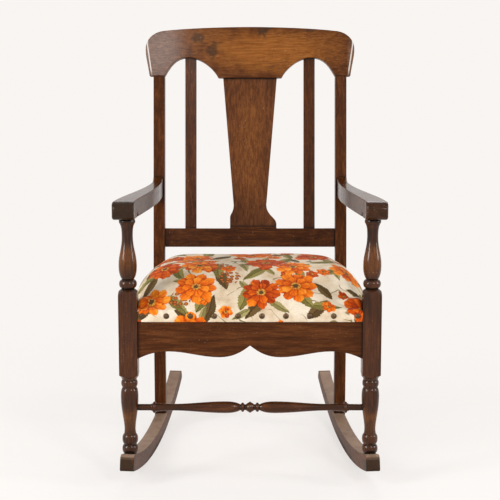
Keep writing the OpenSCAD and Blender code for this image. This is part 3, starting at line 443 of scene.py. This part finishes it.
screw_metal = metal("screw_metal", (0.20, 0.19, 0.18), (0.45, 0.44, 0.42), 0.38, (0.16, 0.075, 0.035))
nail_metal = metal("nail_bronze_metal", (0.060, 0.034, 0.016), (0.18, 0.105, 0.048), 0.42, (0.055, 0.028, 0.013), 0.7)
spring_metal = metal("spring_metal", (0.10, 0.095, 0.09), (0.32, 0.31, 0.30), 0.42, (0.14, 0.06, 0.03))
dress("corner_blocks", raw_wood("block_wood"))
dress("rail_dowels", raw_wood("dowel_wood", 2.0), 0)
dress("arm_screws", screw_metal, 0.0002)
dress("corner_block_screws", screw_metal, 0)
dress("upholstery_nails", nail_metal, 0)


# The seat: one closed pad under the printed cover

CELL = 0.0085
CLOTH_OUT = 0.0023
CLOTH_UP = 0.0045
POST_GAP = 0.0006
SKIRT_THICK = 0.0019
SKIRT_DROPS = (-0.0005, 0.006, 0.013, 0.019)
PAD_MIDDLE = (COVER_LOW.y + COVER_HIGH.y) / 2
PAD_HALF = (COVER_HIGH.y - COVER_LOW.y) / 2
CROWN = COVER_HIGH.z - RAIL_TOP - CLOTH_OUT
DOME = {"fullness": 10.0, "edge": 1.5, "width": 0.8, "depth": 2.2, "corner": 5.0}

# The pad's underside and the hessian rise from the rails to the springs between these shares of the seat's half
LIFT_FROM, LIFT_SPAN = 0.93, 0.07

rail_points = [v.co for v in nodes["right_side_rail"].data.vertices]
SIDE_FRONT_X = max(p.x for p in rail_points if p.y < RAIL_LOW.y + 0.002) + CLOTH_OUT
SIDE_REAR_X = max(p.x for p in rail_points if p.y > RAIL_HIGH.y - 0.012) + CLOTH_OUT


def side_line(y):
    """Outer face of the cover's side at a depth."""
    share = (y - RAIL_LOW.y) / (RAIL_HIGH.y - RAIL_LOW.y)
    return SIDE_FRONT_X + (SIDE_REAR_X - SIDE_FRONT_X) * share


def dome(x, y):
    """Height of the padded top over the rails."""
    across = min(1.0, abs(x) / side_line(y)) ** (1 / DOME["width"])
    deep = min(1.0, abs(y - PAD_MIDDLE) / PAD_HALF) ** (1 / DOME["depth"])
    s = min(1.0, (across ** DOME["corner"] + deep ** DOME["corner"]) ** (1 / DOME["corner"]))
    return CROWN * (1 - s ** DOME["fullness"]) ** DOME["edge"]


def line(a, b, step):
    """Even places from a to b, about a step apart."""
    count = max(1, round(abs(b - a) / step))
    return [a + (b - a) * i / count for i in range(count + 1)]


def path_length(path):
    return sum(math.dist(a, b) for a, b in zip(path, path[1:]))


def indices_to(start, end):
    step = 1 if end >= start else -1
    return range(start, end + step, step)


def seat_grid():
    """Columns and rows of the pad's top, and where its side strips lie between the posts."""
    strip = line(APRON_HALF, SIDE_FRONT_X, CELL)
    inner = line(-APRON_HALF, APRON_HALF, CELL)
    columns = [-x for x in reversed(strip[1:])] + inner + strip[1:]
    front = line(COVER_LOW.y, SIDE_FRONT_Y, CELL)
    middle = line(SIDE_FRONT_Y, STRIP_REAR_Y, CELL)
    rear = line(STRIP_REAR_Y, COVER_HIGH.y, CELL)
    rows = front + middle[1:] + rear[1:]
    first, last = len(front) - 1, len(front) + len(middle) - 2
    return columns, rows, len(strip) - 1, first, last


def seat_mesh():
    """Points and faces of the closed pad, its places on the flat cloth, and the points that are held."""
    columns, rows, strips, first, last = seat_grid()
    wide, deep = len(columns), len(rows)

    def kept(i, j):
        in_strip = i < strips or i >= wide - 1 - strips
        return not (in_strip and (j < first or j >= last))

    def inner_half(y):
        share = (y - SIDE_FRONT_Y) / (STRIP_REAR_Y - SIDE_FRONT_Y)
        return APRON_HALF + (REAR_HALF - APRON_HALF) * min(1.0, max(0.0, share)) - POST_GAP

    def spot(i, j):
        x, y = columns[i], rows[j]
        half = inner_half(y)
        if abs(x) <= APRON_HALF + 1e-9:
            return x / APRON_HALF * half, y
        share = (abs(x) - APRON_HALF) / (SIDE_FRONT_X - APRON_HALF)
        return math.copysign(half + (side_line(y) - half) * share, x), y

    outer, inner, points, faces = {}, {}, [], []
    cells = [(i, j) for i in range(wide - 1) for j in range(deep - 1) if kept(i, j)]
    used = sorted({(i + a, j + b) for i, j in cells for a in (0, 1) for b in (0, 1)})
    for key in used:
        x, y = spot(*key)
        outer[key] = len(points)
        points.append((x, y, RAIL_TOP + CLOTH_UP + dome(x, y)))
    for key in used:
        x, y = spot(*key)
        share = max(abs(x) / side_line(y), abs(y - PAD_MIDDLE) / PAD_HALF)
        lift = min(1.0, max(0.0, (LIFT_FROM - share) / LIFT_SPAN))
        inner[key] = len(points)
        points.append((x, y, RAIL_TOP + 0.0020 + (HESSIAN_HIGH.z - RAIL_TOP) * lift))

    # The two layers, and the loop that their open border makes
    directed = set()
    for i, j in cells:
        ring = [(i, j), (i + 1, j), (i + 1, j + 1), (i, j + 1)]
        faces.append(tuple(outer[key] for key in ring))
        faces.append(tuple(inner[key] for key in reversed(ring)))
        directed.update(zip(ring, ring[1:] + ring[:1]))
    follows = {a: b for a, b in directed if (b, a) not in directed}
    loop = [(0, first)]
    while follows[loop[-1]] != loop[0]:
        loop.append(follows[loop[-1]])

    def outside(key):
        i, j = key
        return i in (0, wide - 1) or j in (0, deep - 1)

    def inward(key):
        """Direction from the border towards the inside of the pad."""
        i, j = key
        x = 1 if i == 0 else -1 if i == wide - 1 else 0
        y = 1 if j == 0 else -1 if j == deep - 1 else 0
        return x, y

    # The skirt over the rails' faces, and the short turn-in at the posts
    levels = [RAIL_TOP - drop for drop in SKIRT_DROPS] + [HEM_Z]
    skirt = {}
    for key in loop:
        x, y = spot(*key)
        dx, dy = inward(key)
        for k, z in enumerate(levels):
            if not outside(key) and k > 0:
                continue
            skirt[(key, k, 0)] = len(points)
            points.append((x, y, z if outside(key) else RAIL_TOP + 0.003))
            skirt[(key, k, 1)] = len(points)
            points.append((x + dx * SKIRT_THICK, y + dy * SKIRT_THICK, z if outside(key) else RAIL_TOP + 0.0025))
    for a, b in zip(loop, loop[1:] + loop[:1]):
        steps = len(levels) - 1 if outside(a) and outside(b) else 0
        faces.append((outer[b], outer[a], skirt[(a, 0, 0)], skirt[(b, 0, 0)]))
        for k in range(steps):
            faces.append((skirt[(b, k, 0)], skirt[(a, k, 0)], skirt[(a, k + 1, 0)], skirt[(b, k + 1, 0)]))
            faces.append((skirt[(a, k, 1)], skirt[(b, k, 1)], skirt[(b, k + 1, 1)], skirt[(a, k + 1, 1)]))
        faces.append((skirt[(b, steps, 0)], skirt[(a, steps, 0)], skirt[(a, steps, 1)], skirt[(b, steps, 1)]))
        faces.append((inner[a], inner[b], skirt[(b, 0, 1)], skirt[(a, 0, 1)]))
    for key in loop:
        neighbours = [k for k in loop if abs(k[0] - key[0]) + abs(k[1] - key[1]) == 1]
        if outside(key) and any(not outside(k) for k in neighbours):
            for k in range(len(levels) - 1):
                faces.append((skirt[(key, k, 0)], skirt[(key, k, 1)], skirt[(key, k + 1, 1)], skirt[(key, k + 1, 0)]))

    # Lengths along the cloth from the middle, for the print
    cloth = [(0.0, 0.0)] * len(points)
    mid_i, mid_j = wide // 2, deep // 2
    for i, j in used:
        over = [spot(k, j) if (k, j) in outer else (columns[k], rows[j]) for k in indices_to(mid_i, i)]
        down = [spot(i, k) if (i, k) in outer else (spot(i, j)[0], rows[k]) for k in indices_to(mid_j, j)]
        u = math.copysign(path_length([(x, dome(x, y)) for x, y in over]), i - mid_i)
        v = math.copysign(path_length([(y, dome(x, y)) for x, y in down]), j - mid_j)
        cloth[outer[(i, j)]] = cloth[inner[(i, j)]] = (u, v)
    for (key, k, layer), index in skirt.items():
        dx, dy = inward(key)
        drop = RAIL_TOP + CLOTH_UP - levels[k]
        u, v = cloth[outer[key]]
        cloth[index] = (u - dx * drop, v - dy * drop)
    return points, faces, cloth, list(inner.values()) + list(skirt.values())


def new_object(name, points, faces, material):
    mesh = bpy.data.meshes.new(name)
    mesh.from_pydata(points, [], faces)
    mesh.validate()
    mesh.materials.append(material)
    mesh.polygons.foreach_set("use_smooth", [True] * len(mesh.polygons))
    piece = bpy.data.objects.new(name, mesh)
    bpy.context.scene.collection.objects.link(piece)
    return piece


def add_map(piece, places):
    """Stores each point's place on the flat cloth, which the cloth materials read."""
    layer = piece.data.uv_layers.new(name="cloth")
    layer.data.foreach_set("uv", [v for loop in piece.data.loops for v in places[loop.vertex_index]])


def settle(piece, pinned, cap, pressure, frames):
    """Blows the cloth up a little, keeps what is pinned, and limits how far a point moves."""
    before = np.array([v.co for v in piece.data.vertices])
    group = piece.vertex_groups.new(name="held")
    group.add(pinned, 1.0, "REPLACE")
    cloth = piece.modifiers.new("cloth", "CLOTH")
    cloth.settings.quality = 6
    cloth.settings.mass = 0.35
    cloth.settings.tension_stiffness = 14
    cloth.settings.compression_stiffness = 10
    cloth.settings.shear_stiffness = 6
    cloth.settings.bending_stiffness = 0.8
    cloth.settings.use_pressure = True
    cloth.settings.uniform_pressure_force = pressure
    cloth.settings.effector_weights.gravity = 0
    cloth.settings.vertex_group_mass = "held"
    cloth.collision_settings.use_collision = False
    cloth.point_cache.frame_start, cloth.point_cache.frame_end = 1, frames
    for f in range(1, frames + 1):
        bpy.context.scene.frame_set(f)
    depsgraph = bpy.context.evaluated_depsgraph_get()
    shaped = piece.evaluated_get(depsgraph).to_mesh()
    after = np.array([v.co for v in shaped.vertices])
    piece.evaluated_get(depsgraph).to_mesh_clear()
    piece.modifiers.remove(cloth)
    bpy.context.scene.frame_set(1)
    moved = after - before
    length = np.linalg.norm(moved, axis=1, keepdims=True)
    moved *= np.minimum(1.0, cap / np.maximum(length, 1e-9))
    piece.data.vertices.foreach_set("co", (before + moved).ravel())
    piece.data.update()


def subdivided(piece, levels):
    """Replaces the mesh by its smooth subdivision."""
    smooth = piece.modifiers.new("smooth", "SUBSURF")
    smooth.levels = smooth.render_levels = levels
    depsgraph = bpy.context.evaluated_depsgraph_get()
    mesh = bpy.data.meshes.new_from_object(piece.evaluated_get(depsgraph))
    piece.modifiers.clear()
    piece.data = mesh


# The cover's print

TURN = 6.2832
UNDER_PI = 3.14159  # a little under pi, so that the sine of a leaf's end stays positive
THREADS = 6283.0  # one thread per millimetre, as an angle per metre

CREAM = [(0.30, (0.48, 0.32, 0.18)), (0.44, (0.70, 0.55, 0.38)), (0.58, (0.82, 0.71, 0.55))]
STEM = (0.19, 0.13, 0.035)
PETALS = [(0.06, (0.30, 0.030, 0.004)), (0.28, (0.62, 0.080, 0.005)), (0.50, (0.86, 0.190, 0.008)),
          (0.68, (0.93, 0.330, 0.030)), (0.88, (0.94, 0.560, 0.150))]
STAMEN = (0.66, 0.36, 0.060)

# Leaves: cells per metre, shift, length, width, dark and light colour, share of the cells that stay empty
LEAVES = (
    (12.0, (3.1, 1.7, 0), 0.034, 0.0135, (0.060, 0.034, 0.011), (0.20, 0.115, 0.040), 0.25),
    (10.5, (0.4, 5.2, 0), 0.042, 0.0150, (0.085, 0.070, 0.012), (0.40, 0.33, 0.095), 0.10),
    (14.0, (9.4, 3.2, 0), 0.027, 0.0095, (0.150, 0.115, 0.022), (0.50, 0.42, 0.170), 0.40),
)

# Flowers: cells per metre, shift, radius, outer and inner petals, share of empty cells, randomness, depth of tone
FLOWERS = (
    (17.0, (1.3, 8.2, 0), 0.018, 6.0, 5.0, 0.55, 0.8, 0.06),
    (8.6, (5.6, 0.35, 0), 0.047, 9.0, 7.0, 0.16, 0.5, 0.0),
)


def printed_cloth():
    """Cream cloth with a generic print of double flowers, leaves, stems and berries."""
    t = Surface("printed_cloth_fabric")
    at = t.uv("cloth")
    wobble = t.vector("SUBTRACT", t.noise(at, 55.0, 3.0, 0.6, colour=True), (0.5, 0.5, 0.5))
    soft = t.vector("ADD", at, t.vector("SCALE", wobble, 0.009))
    wash = t.noise(at, 26.0, 4.0, 0.6)
    blotch = t.noise(at, 11.0, 3.0, 0.5)
    ink = t.noise(at, 210.0, 4.0, 0.65)
    colour = t.ramp(wash * 0.6 + blotch * 0.4, CREAM)

    def cells(scale, randomness, shift):
        """Place in the nearest motif's own frame, and three chances that are the motif's own."""
        here = t.vector("ADD", soft, shift)
        n = t.node("TexVoronoi", {"Vector": here, "Scale": scale, "Randomness": randomness}, voronoi_dimensions="2D")
        x, y, _ = t.xyz(t.vector("SUBTRACT", here, Value(t, n.outputs["Position"])))
        return x, y, t.xyz(Value(t, n.outputs["Color"]))

    def turned(x, y, angle):
        c, s = t.math("COSINE", angle), t.math("SINE", angle)
        return x * c + y * s, y * c - x * s

    # Thin stems wander between the motifs
    stem_line = t.math("ABSOLUTE", t.noise(at, 15.0, 1.0, 0.3, 0.8) - 0.5)
    stems = t.step(stem_line, 0.012, 0.006) * t.step(t.noise(at, 19.0, 1.0), 0.47, 0.53)
    colour = t.mix(stems * 0.9, colour, STEM)

    def leaves(colour, scale, shift, length, width, dark, light, least):
        x, y, chance = cells(scale, 0.55, shift)
        along, over = turned(x, y, chance[0] * TURN)
        size = chance[1] * 0.35 + 0.80
        share = t.math("MULTIPLY_ADD", along / (size * length), 0.5, 0.5, clamp=True)
        teeth = t.math("PINGPONG", share * 13.0, 0.5) * 0.30 + 0.85
        body = t.math("POWER", t.math("SINE", share * UNDER_PI), 0.75) * (1.25 - share * 0.5)
        edge = body * width * teeth * size
        flat_over = t.math("ABSOLUTE", over)
        mask = t.step(edge - flat_over, -0.0002, 0.0007) * t.math("GREATER_THAN", chance[2], least)
        veins = t.step(t.math("PINGPONG", share * 8.0 - flat_over * 190.0, 0.5), 0.10, 0.03)
        rib = t.step(flat_over, 0.0011, 0.0004)
        side = t.step(over, -0.002, 0.002) * 0.35
        body_colour = t.mix(ink * 0.7 + side + (wash * 0.4 - 0.25), dark, light)
        body_colour = t.mix(t.math("MAXIMUM", veins * 0.45, rib * 0.8), body_colour, tuple(0.35 * c for c in dark))
        return t.mix(mask, colour, body_colour)

    for row in LEAVES:
        colour = leaves(colour, *row)

    # Clusters of round berries
    x, y, chance = cells(7.5, 0.7, (7.7, 2.9, 0))
    near = t.vector("LENGTH", t.combine(x, y)) + (wash - 0.5) * 0.03
    fruit = t.node("TexVoronoi", {"Vector": at, "Scale": 88.0, "Randomness": 0.55}, voronoi_dimensions="2D")
    berry = Value(t, fruit.outputs["Distance"])
    hue = t.xyz(Value(t, fruit.outputs["Color"]))[0]
    mask = t.step(near, 0.026, 0.024) * t.step(berry, 0.46, 0.40) * t.math("GREATER_THAN", chance[2], 0.45)
    ripe = t.mix(hue, (0.52, 0.13, 0.030), (0.62, 0.20, 0.03))
    colour = t.mix(mask, colour, t.mix(t.step(berry, 0.42, 0.05), (0.19, 0.030, 0.008), ripe))

    def petals(x, y, chance, far, size, count, spin):
        """Mask, share of the radius and tone of a ring of petals."""
        px, py = turned(x, y, chance[0] * TURN + spin)
        turn = t.math("ARCTAN2", py, px) * (count / TURN) + count / 2
        index = t.math("FLOOR", turn)
        own = t.noise(t.combine(index * 0.73 + chance[0] * 31.0, chance[1] * 17.0 + spin), 1.0, 0.0)
        lobe = t.math("PINGPONG", turn, 0.5) * 2.0
        rim = t.math("POWER", lobe, 0.5) * 0.30 + 0.58 + own * 0.26
        frill = (t.noise(t.combine(turn * 2.6, chance[0] * 9.0, spin), 2.0, 3.0, 0.7) - 0.5) * 0.26
        share = far / (size * (rim + frill))
        rays = t.noise(t.combine(turn * 9.0, share * 0.9, chance[0] * 5.0), 1.0, 3.0, 0.75)
        tone = rays * 0.95 + own * 0.75 + share * 0.30 + (ink - 0.5) * 0.34 + t.math("FRACT", turn) * 0.20 - 0.74
        tone = tone - t.step(lobe, 0.34, 0.0) * 0.30
        return t.step(share, 1.0, 0.965), share, tone

    def flowers(colour, scale, shift, radius, outer, inner, least, randomness, deep):
        x, y, chance = cells(scale, randomness, shift)
        far = t.vector("LENGTH", t.combine(x, y))
        size = (chance[1] * 0.24 + 0.86) * radius
        there = t.math("GREATER_THAN", chance[2], least)
        deep = t.math("GREATER_THAN", chance[0], 0.62) * 0.20 + deep
        mask, share, tone = petals(x, y, chance, far, size, outer, 0.0)
        outer_colour = t.mix(t.step(far / size, 0.72, 0.50) * 0.6, t.ramp(tone - deep, PETALS), (0.36, 0.040, 0.004))
        colour = t.mix(mask * there, colour, outer_colour)
        mask, share, tone = petals(x, y, chance, far, size * 0.64, inner, 1.1)
        inner_colour = t.ramp(tone + 0.04 - deep, PETALS)
        inner_colour = t.mix(t.step(share, 0.62, 0.30) * 0.55, inner_colour, (0.40, 0.050, 0.005))
        colour = t.mix(mask * there, colour, inner_colour)
        stamens = t.step(far / size, 0.25, 0.19) * t.step(ink, 0.45, 0.52)
        colour = t.mix(stamens * there, colour, STAMEN)
        heart = t.step(far / size + (ink - 0.5) * 0.12, 0.14, 0.10)
        return t.mix(heart * there, colour, t.mix(ink, (0.050, 0.026, 0.010), (0.17, 0.09, 0.03)))

    for row in FLOWERS:
        colour = flowers(colour, *row)

    # The weave, and the ink that it takes unevenly
    u, v, _ = t.xyz(at)
    slub = (t.noise(t.vector("MULTIPLY", at, (1.0, 0.06, 1.0)), 900.0, 2.0)
            + t.noise(t.vector("MULTIPLY", at, (0.06, 1.0, 1.0)), 900.0, 2.0))
    warp = t.math("SINE", u * THREADS) * t.math("SINE", v * THREADS)
    weave = warp * 0.25 + slub * 0.55
    grain = t.noise(at, 430.0, 2.0, 0.7)
    shade = weave * 0.30 + grain * 0.50 + 0.50
    colour = t.mix(1.0, colour, t.combine(shade, shade, shade), "MULTIPLY")
    t.set(Base_Color=colour, Roughness=slub * 0.08 + 0.78, Sheen_Weight=0.04, Sheen_Roughness=0.5,
          Specular_IOR_Level=0.08)
    t.set(Normal=t.bump(weave, 0.00035, 0.55))
    return t.material


points, faces, cloth_places, pinned = seat_mesh()
cover = new_object("seat_cover_cloth", points, faces, printed_cloth())
add_map(cover, cloth_places)
settle(cover, pinned, cap=0.003, pressure=3.0, frames=14)
subdivided(cover, 1)

# Creases: the cloth is gathered at each nail, pulled at the posts and uneven on top
NAIL_END = APRON_HALF - 0.012
NAIL_GAP = 2 * NAIL_END / 9
GATHER, PULL, UNEVEN = 0.0009, 0.0022, 0.0011
verts = np.array([v.co for v in cover.data.vertices])
normals = np.array([v.normal for v in cover.data.vertices])
x, y, z = verts.T
gather = np.cos(2 * np.pi * (x - NAIL_END) / NAIL_GAP)
on_front = np.clip((COVER_LOW.y + 0.030 - y) / 0.028, 0, 1)
fall = np.exp(-((z - (HEM_Z + 0.030)) / 0.016) ** 2)
push = -GATHER * gather * on_front * fall
post_corners = [(s * APRON_HALF, SIDE_FRONT_Y, 1.0) for s in (-1, 1)]
post_corners += [(s * REAR_HALF, STRIP_REAR_Y, 0.8) for s in (-1, 1)]
for cx, cy, amount in post_corners:
    dx, dy = x - cx, y - cy
    far = np.hypot(dx, dy)
    angle = np.arctan2(dy, dx)
    ripple = np.sin(angle * 9 + 2.2 * np.sin(cx * 40) + far * 30) + 0.5 * np.sin(angle * 17 + far * 55)
    push += amount * PULL * ripple * np.exp(-far / 0.045) * np.clip(far / 0.012, 0, 1)
push += UNEVEN * np.sin(x * 23 + np.sin(y * 19) * 1.4) * np.sin(y * 27 + 1.1) * np.clip((z - RAIL_TOP) / 0.03, 0, 1)
push *= (z > HEM_Z + 0.002) & (normals[:, 2] > -0.3)
cover.data.vertices.foreach_set("co", (verts + normals * push[:, None]).ravel())
cover.data.update()
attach(cover, "root")
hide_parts("seat_cover", "seat_stuffing")


# Webbing, springs and hessian under the seat

STRAP_HALF = 0.025
STRAP_THICK = 0.002
STRAP_STEP = 0.006
LIFT = 0.0011
TURN_UP = 0.024
PITCH_X, PITCH_Y = 0.080, 0.072
APRON_BACK = APRON_LOW.y + 0.022
STRAP_REAR = REAR_RAIL_HIGH.y - 0.003
SEAT_MIDDLE = (APRON_BACK + REAR_RAIL_LOW.y) / 2
STRAP_Z = RAIL_LOW.z - LIFT - STRAP_THICK / 2
LEFT, BACK, UP, SLANT = Vector((-1, 0, 0)), Vector((0, 1, 0)), Vector((0, 0, 1)), Vector((0, 0.7, 0.7))

# A strap's rounded section, in shares of its half width and its thickness
STRAP_SECTION = [(-1.0, 0.0), (-0.97, 0.5), (-0.6, 0.52), (-0.2, 0.5), (0.2, 0.5), (0.6, 0.52), (0.97, 0.5),
                 (1.0, 0.0), (0.97, -0.5), (0.6, -0.48), (0.2, -0.5), (-0.2, -0.5), (-0.6, -0.48), (-0.97, -0.5)]


def jute(name, scale, stripes):
    """Coarse woven jute with broken, hairy threads."""
    t = Surface(name)
    at = t.uv("cloth")
    u, v, _ = t.xyz(at)
    across = t.math("SINE", u * scale) * 0.5 + 0.5
    along = t.math("SINE", v * scale) * 0.5 + 0.5
    over = t.math("SINE", (u + v) * (scale / 2)) * 0.5 + 0.5
    thread = across * over + along * (1.0 - over)
    hair = t.noise(at, 900.0, 4.0, 0.7)
    tone = t.noise(at, 40.0, 3.0, 0.6)
    colour = t.ramp(thread * 0.45 + hair * 0.35 + tone * 0.25,
                    [(0.2, (0.11, 0.065, 0.026)), (0.5, (0.33, 0.215, 0.10)), (0.85, (0.52, 0.38, 0.20))])
    if stripes:
        edge = t.math("ABSOLUTE", t.math("ABSOLUTE", u) - 0.017)
        colour = t.mix(t.step(edge, 0.0022, 0.0014) * 0.75, colour, (0.055, 0.022, 0.016))
    t.set(Base_Color=colour, Roughness=0.9, Sheen_Weight=0.2)
    t.set(Normal=t.bump(thread * 0.7 + hair * 0.4, 0.0006, 0.8))
    return t.material


def skin(faces, start, rings, sides):
    """Joins rings of points, which begin at start, into a tube with closed ends."""
    for i in range(rings - 1):
        for k in range(sides):
            a, b = start + i * sides + k, start + i * sides + (k + 1) % sides
            faces.append((a, b, b + sides, a + sides))
    faces.append(tuple(start + k for k in reversed(range(sides))))
    faces.append(tuple(start + (rings - 1) * sides + k for k in range(sides)))


def strap(points, faces, places, path, side):
    """Sweeps a strap's section along a path of (place, upward direction) pairs."""
    start = len(points)
    run = 0.0
    for index, (centre, up) in enumerate(path):
        if index:
            run += (centre - path[index - 1][0]).length
        for a, b in STRAP_SECTION:
            points.append(tuple(centre + side * (a * STRAP_HALF) + up * (b * STRAP_THICK)))
            places.append((a * STRAP_HALF, run))
    skin(faces, start, len(path), len(STRAP_SECTION))


def woven(run, centre, pitch, turn):
    """Height of a strap at a place along it: over and under its neighbours."""
    k = (run - centre) / pitch
    wave = math.cos(math.pi * (k + turn))
    inside = max(0.0, min(1.0, (2.75 - abs(k)) * 4))
    return LIFT * max(-1.0, min(1.0, wave * 2.2)) * inside + LIFT * (1 - inside)


points, faces, places = [], [], []
for k in (-2, -1, 0, 1, 2):
    x = k * PITCH_X
    path = []
    for i in range(5):
        z = STRAP_Z + LIFT + TURN_UP * (1 - i / 4) + 0.001
        path.append((Vector((x, APRON_BACK + STRAP_THICK / 2, z)), BACK if i < 4 else SLANT))
    for i, run in enumerate(line(APRON_BACK + 0.0025, STRAP_REAR, STRAP_STEP)):
        path.append((Vector((x, run, STRAP_Z + woven(run, SEAT_MIDDLE, PITCH_Y, k))), UP if i else SLANT))
    strap(points, faces, places, path, LEFT)
    y = SEAT_MIDDLE + k * PITCH_Y
    half = side_line(y + STRAP_HALF) - CLOTH_OUT - 0.003
    path = [(Vector((run, y, STRAP_Z + woven(run, 0.0, PITCH_X, k + 1))), UP) for run in line(-half, half, STRAP_STEP)]
    strap(points, faces, places, path, BACK)
webbing = new_object("seat_webbing_straps", points, faces, jute("webbing_jute", 2600.0, True))
add_map(webbing, places)
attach(webbing, "root")
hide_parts("seat_webbing")

SPRING = {"end": 0.038, "waist": 0.023, "turns": 5, "wire": 0.0036, "steps": 26, "sides": 10, "flare": 1.5}


def spring_point(u):
    """The wire's middle at a share of its run, from the spring's foot."""
    r = SPRING["waist"] + (SPRING["end"] - SPRING["waist"]) * abs(2 * u - 1) ** SPRING["flare"]
    a = 2 * math.pi * SPRING["turns"] * u
    rise = SPRING["wire"] / 2 + (SPRING_HIGH.z - SPRING_LOW.z - SPRING["wire"]) * u * u * (3 - 2 * u)
    return Vector((r * math.cos(a), r * math.sin(a), rise))


points, faces = [], []
total = SPRING["turns"] * SPRING["steps"]
for cx in (-2, 0, 2):
    for cy in (-2, 0, 2):
        base = Vector((cx * PITCH_X, SEAT_MIDDLE + cy * PITCH_Y, SPRING_LOW.z))
        start = len(points)
        for i in range(total + 1):
            u = i / total
            here = spring_point(u)
            ahead = (spring_point(min(1.0, u + 0.002)) - spring_point(max(0.0, u - 0.002))).normalized()
            out = Vector((here.x, here.y, 0)).normalized()
            side = ahead.cross(out).normalized()
            out = side.cross(ahead)
            for k in range(SPRING["sides"]):
                a = 2 * math.pi * k / SPRING["sides"]
                points.append(tuple(base + here + (out * math.cos(a) + side * math.sin(a)) * (SPRING["wire"] / 2)))
        skin(faces, start, total + 1, SPRING["sides"])
springs = new_object("seat_spring_coils", points, faces, spring_metal)
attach(springs, "root")
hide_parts("seat_springs")

HESSIAN_THICK = 0.001
HESSIAN_CELLS = (64, 50)
HESSIAN_INSET = 0.962
NOTCH = 0.012
SAG = 0.0012
points, faces, places = [], [], []
across, deep = HESSIAN_CELLS
for j in range(deep + 1):
    for i in range(across + 1):
        u, v = 2 * i / across - 1, 2 * j / deep - 1
        y = PAD_MIDDLE + v * (HESSIAN_HIGH.y - PAD_MIDDLE)
        x = u * (side_line(y) - CLOTH_OUT) * HESSIAN_INSET
        lift = max(0.0, min(1.0, (LIFT_FROM - max(abs(u), abs(v)) * 0.965) / LIFT_SPAN))
        lift = lift * lift * (3 - 2 * lift)
        past = abs(x) - (REAR_HALF if v > 0 else APRON_HALF)
        into = (SIDE_FRONT_Y + NOTCH - y) if v < 0 else (y - SIDE_REAR_Y + NOTCH)
        notch_x = min(1.0, max(0.0, (past + NOTCH) / NOTCH))
        notch_y = min(1.0, max(0.0, into / NOTCH))
        x -= math.copysign(notch_x * notch_y * max(0.0, past + 0.001), x)
        sag = SAG * math.cos(x / PITCH_X * math.pi) * math.cos((y - SEAT_MIDDLE) / PITCH_Y * math.pi) * lift
        z = RAIL_TOP + 0.0008 + (HESSIAN_HIGH.z - RAIL_TOP - 0.0016) * lift - abs(sag)
        points.append((x, y, z))
        places.append((x, y))
for j in range(deep):
    for i in range(across):
        a = j * (across + 1) + i
        faces.append((a, a + 1, a + across + 2, a + across + 1))
hessian = new_object("hessian_sheet", points, faces, jute("hessian_jute", 2100.0, False))
add_map(hessian, places)
thick = hessian.modifiers.new("thick", "SOLIDIFY")
thick.thickness = HESSIAN_THICK
thick.offset = 0
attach(hessian, "root")
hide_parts("spring_hessian")


# Room, light and camera

BACKGROUND = (0.947, 0.913, 0.888)
SKY = (1.0, 0.99, 0.97)
SKY_LEVEL = 0.42
FLOOR_HALF = 9.0
FLOOR_CELLS = 12


def floor_material():
    """Pale ground that keeps the chair's shadow and shows as the plain background."""
    t = Surface("floor_paper")
    place = t.place()
    t.set(Base_Color=t.mix(t.noise(place, 3.0, 2.0) * 0.02, (0.93, 0.90, 0.88), (0.90, 0.87, 0.85)), Roughness=0.9,
          Specular_IOR_Level=0.1)
    glow = t.out("Emission", 0, {"Color": BACKGROUND, "Strength": 1.0})
    away = t.step(t.vector("LENGTH", place), 0.5, 1.6)
    share = t.seen() * (away * 0.30 + 0.70)
    t.put(t.output.inputs["Surface"], t.out("MixShader", 0, {0: share, 1: Value(t, t.shader.outputs[0]), 2: glow}))
    return t.material


row = FLOOR_CELLS + 1
ticks = [(2 * i / FLOOR_CELLS - 1) * FLOOR_HALF for i in range(row)]
floor_points = [(x, y, 0.0) for y in ticks for x in ticks]
floor_faces = [(a, a + 1, a + row + 1, a + row)
               for j in range(FLOOR_CELLS) for a in range(j * row, j * row + FLOOR_CELLS)]
floor = new_object("floor", floor_points, floor_faces, floor_material())

world = bpy.data.worlds.new("studio")
bpy.context.scene.world = world
sky = Tree(world)
sky_seen = sky.out("Background", 0, {0: BACKGROUND, 1: 1.0})
sky_light = sky.out("Background", 0, {0: SKY, 1: SKY_LEVEL})
sky.node("OutputWorld", {0: sky.out("MixShader", 0, {0: sky.seen(), 1: sky_light, 2: sky_seen})})


def lamp(name, place, target, wide, high, power):
    data = bpy.data.lights.new(name, "AREA")
    data.shape = "RECTANGLE"
    data.size, data.size_y = wide, high
    data.energy = power
    piece = bpy.data.objects.new(name, data)
    bpy.context.scene.collection.objects.link(piece)
    piece.location = place
    piece.rotation_mode = "QUATERNION"
    piece.rotation_quaternion = (Vector(target) - Vector(place)).to_track_quat("-Z", "Y")


lamp("left_window", (-2.5, -1.7, 1.5), (0, -0.1, 0.6), 0.9, 1.6, 72)
lamp("key", (1.45, -3.1, 2.3), (0, -0.1, 0.6), 0.6, 1.0, 42)
lamp("right_window", (2.7, -0.8, 1.3), (0, -0.1, 0.6), 0.5, 1.4, 34)
lamp("back", (0.3, 2.9, 2.6), (0, 0.0, 0.7), 1.6, 1.0, 40)

# The camera as the photo's perspective gives it, with a focal length of 1236 pixels for a 500 pixel picture
FOCAL_SHARE = 1236.0 / 500.0
SENSOR = 36.0
CAMERA_TILT = math.radians(8.67)
CAMERA_AWAY = 2.742
CAMERA_Z = 0.9595
camera = bpy.data.objects.new("camera", bpy.data.cameras.new("camera"))
bpy.context.scene.collection.objects.link(camera)
camera.data.sensor_width = SENSOR
camera.data.lens = FOCAL_SHARE * SENSOR
camera.location = (0.0, FRONT_POST_Y - CAMERA_AWAY, CAMERA_Z)
camera.rotation_euler = (math.pi / 2 - CAMERA_TILT, 0.0, 0.0)
bpy.context.scene.camera = camera
bpy.context.scene.view_settings.view_transform = "Standard"
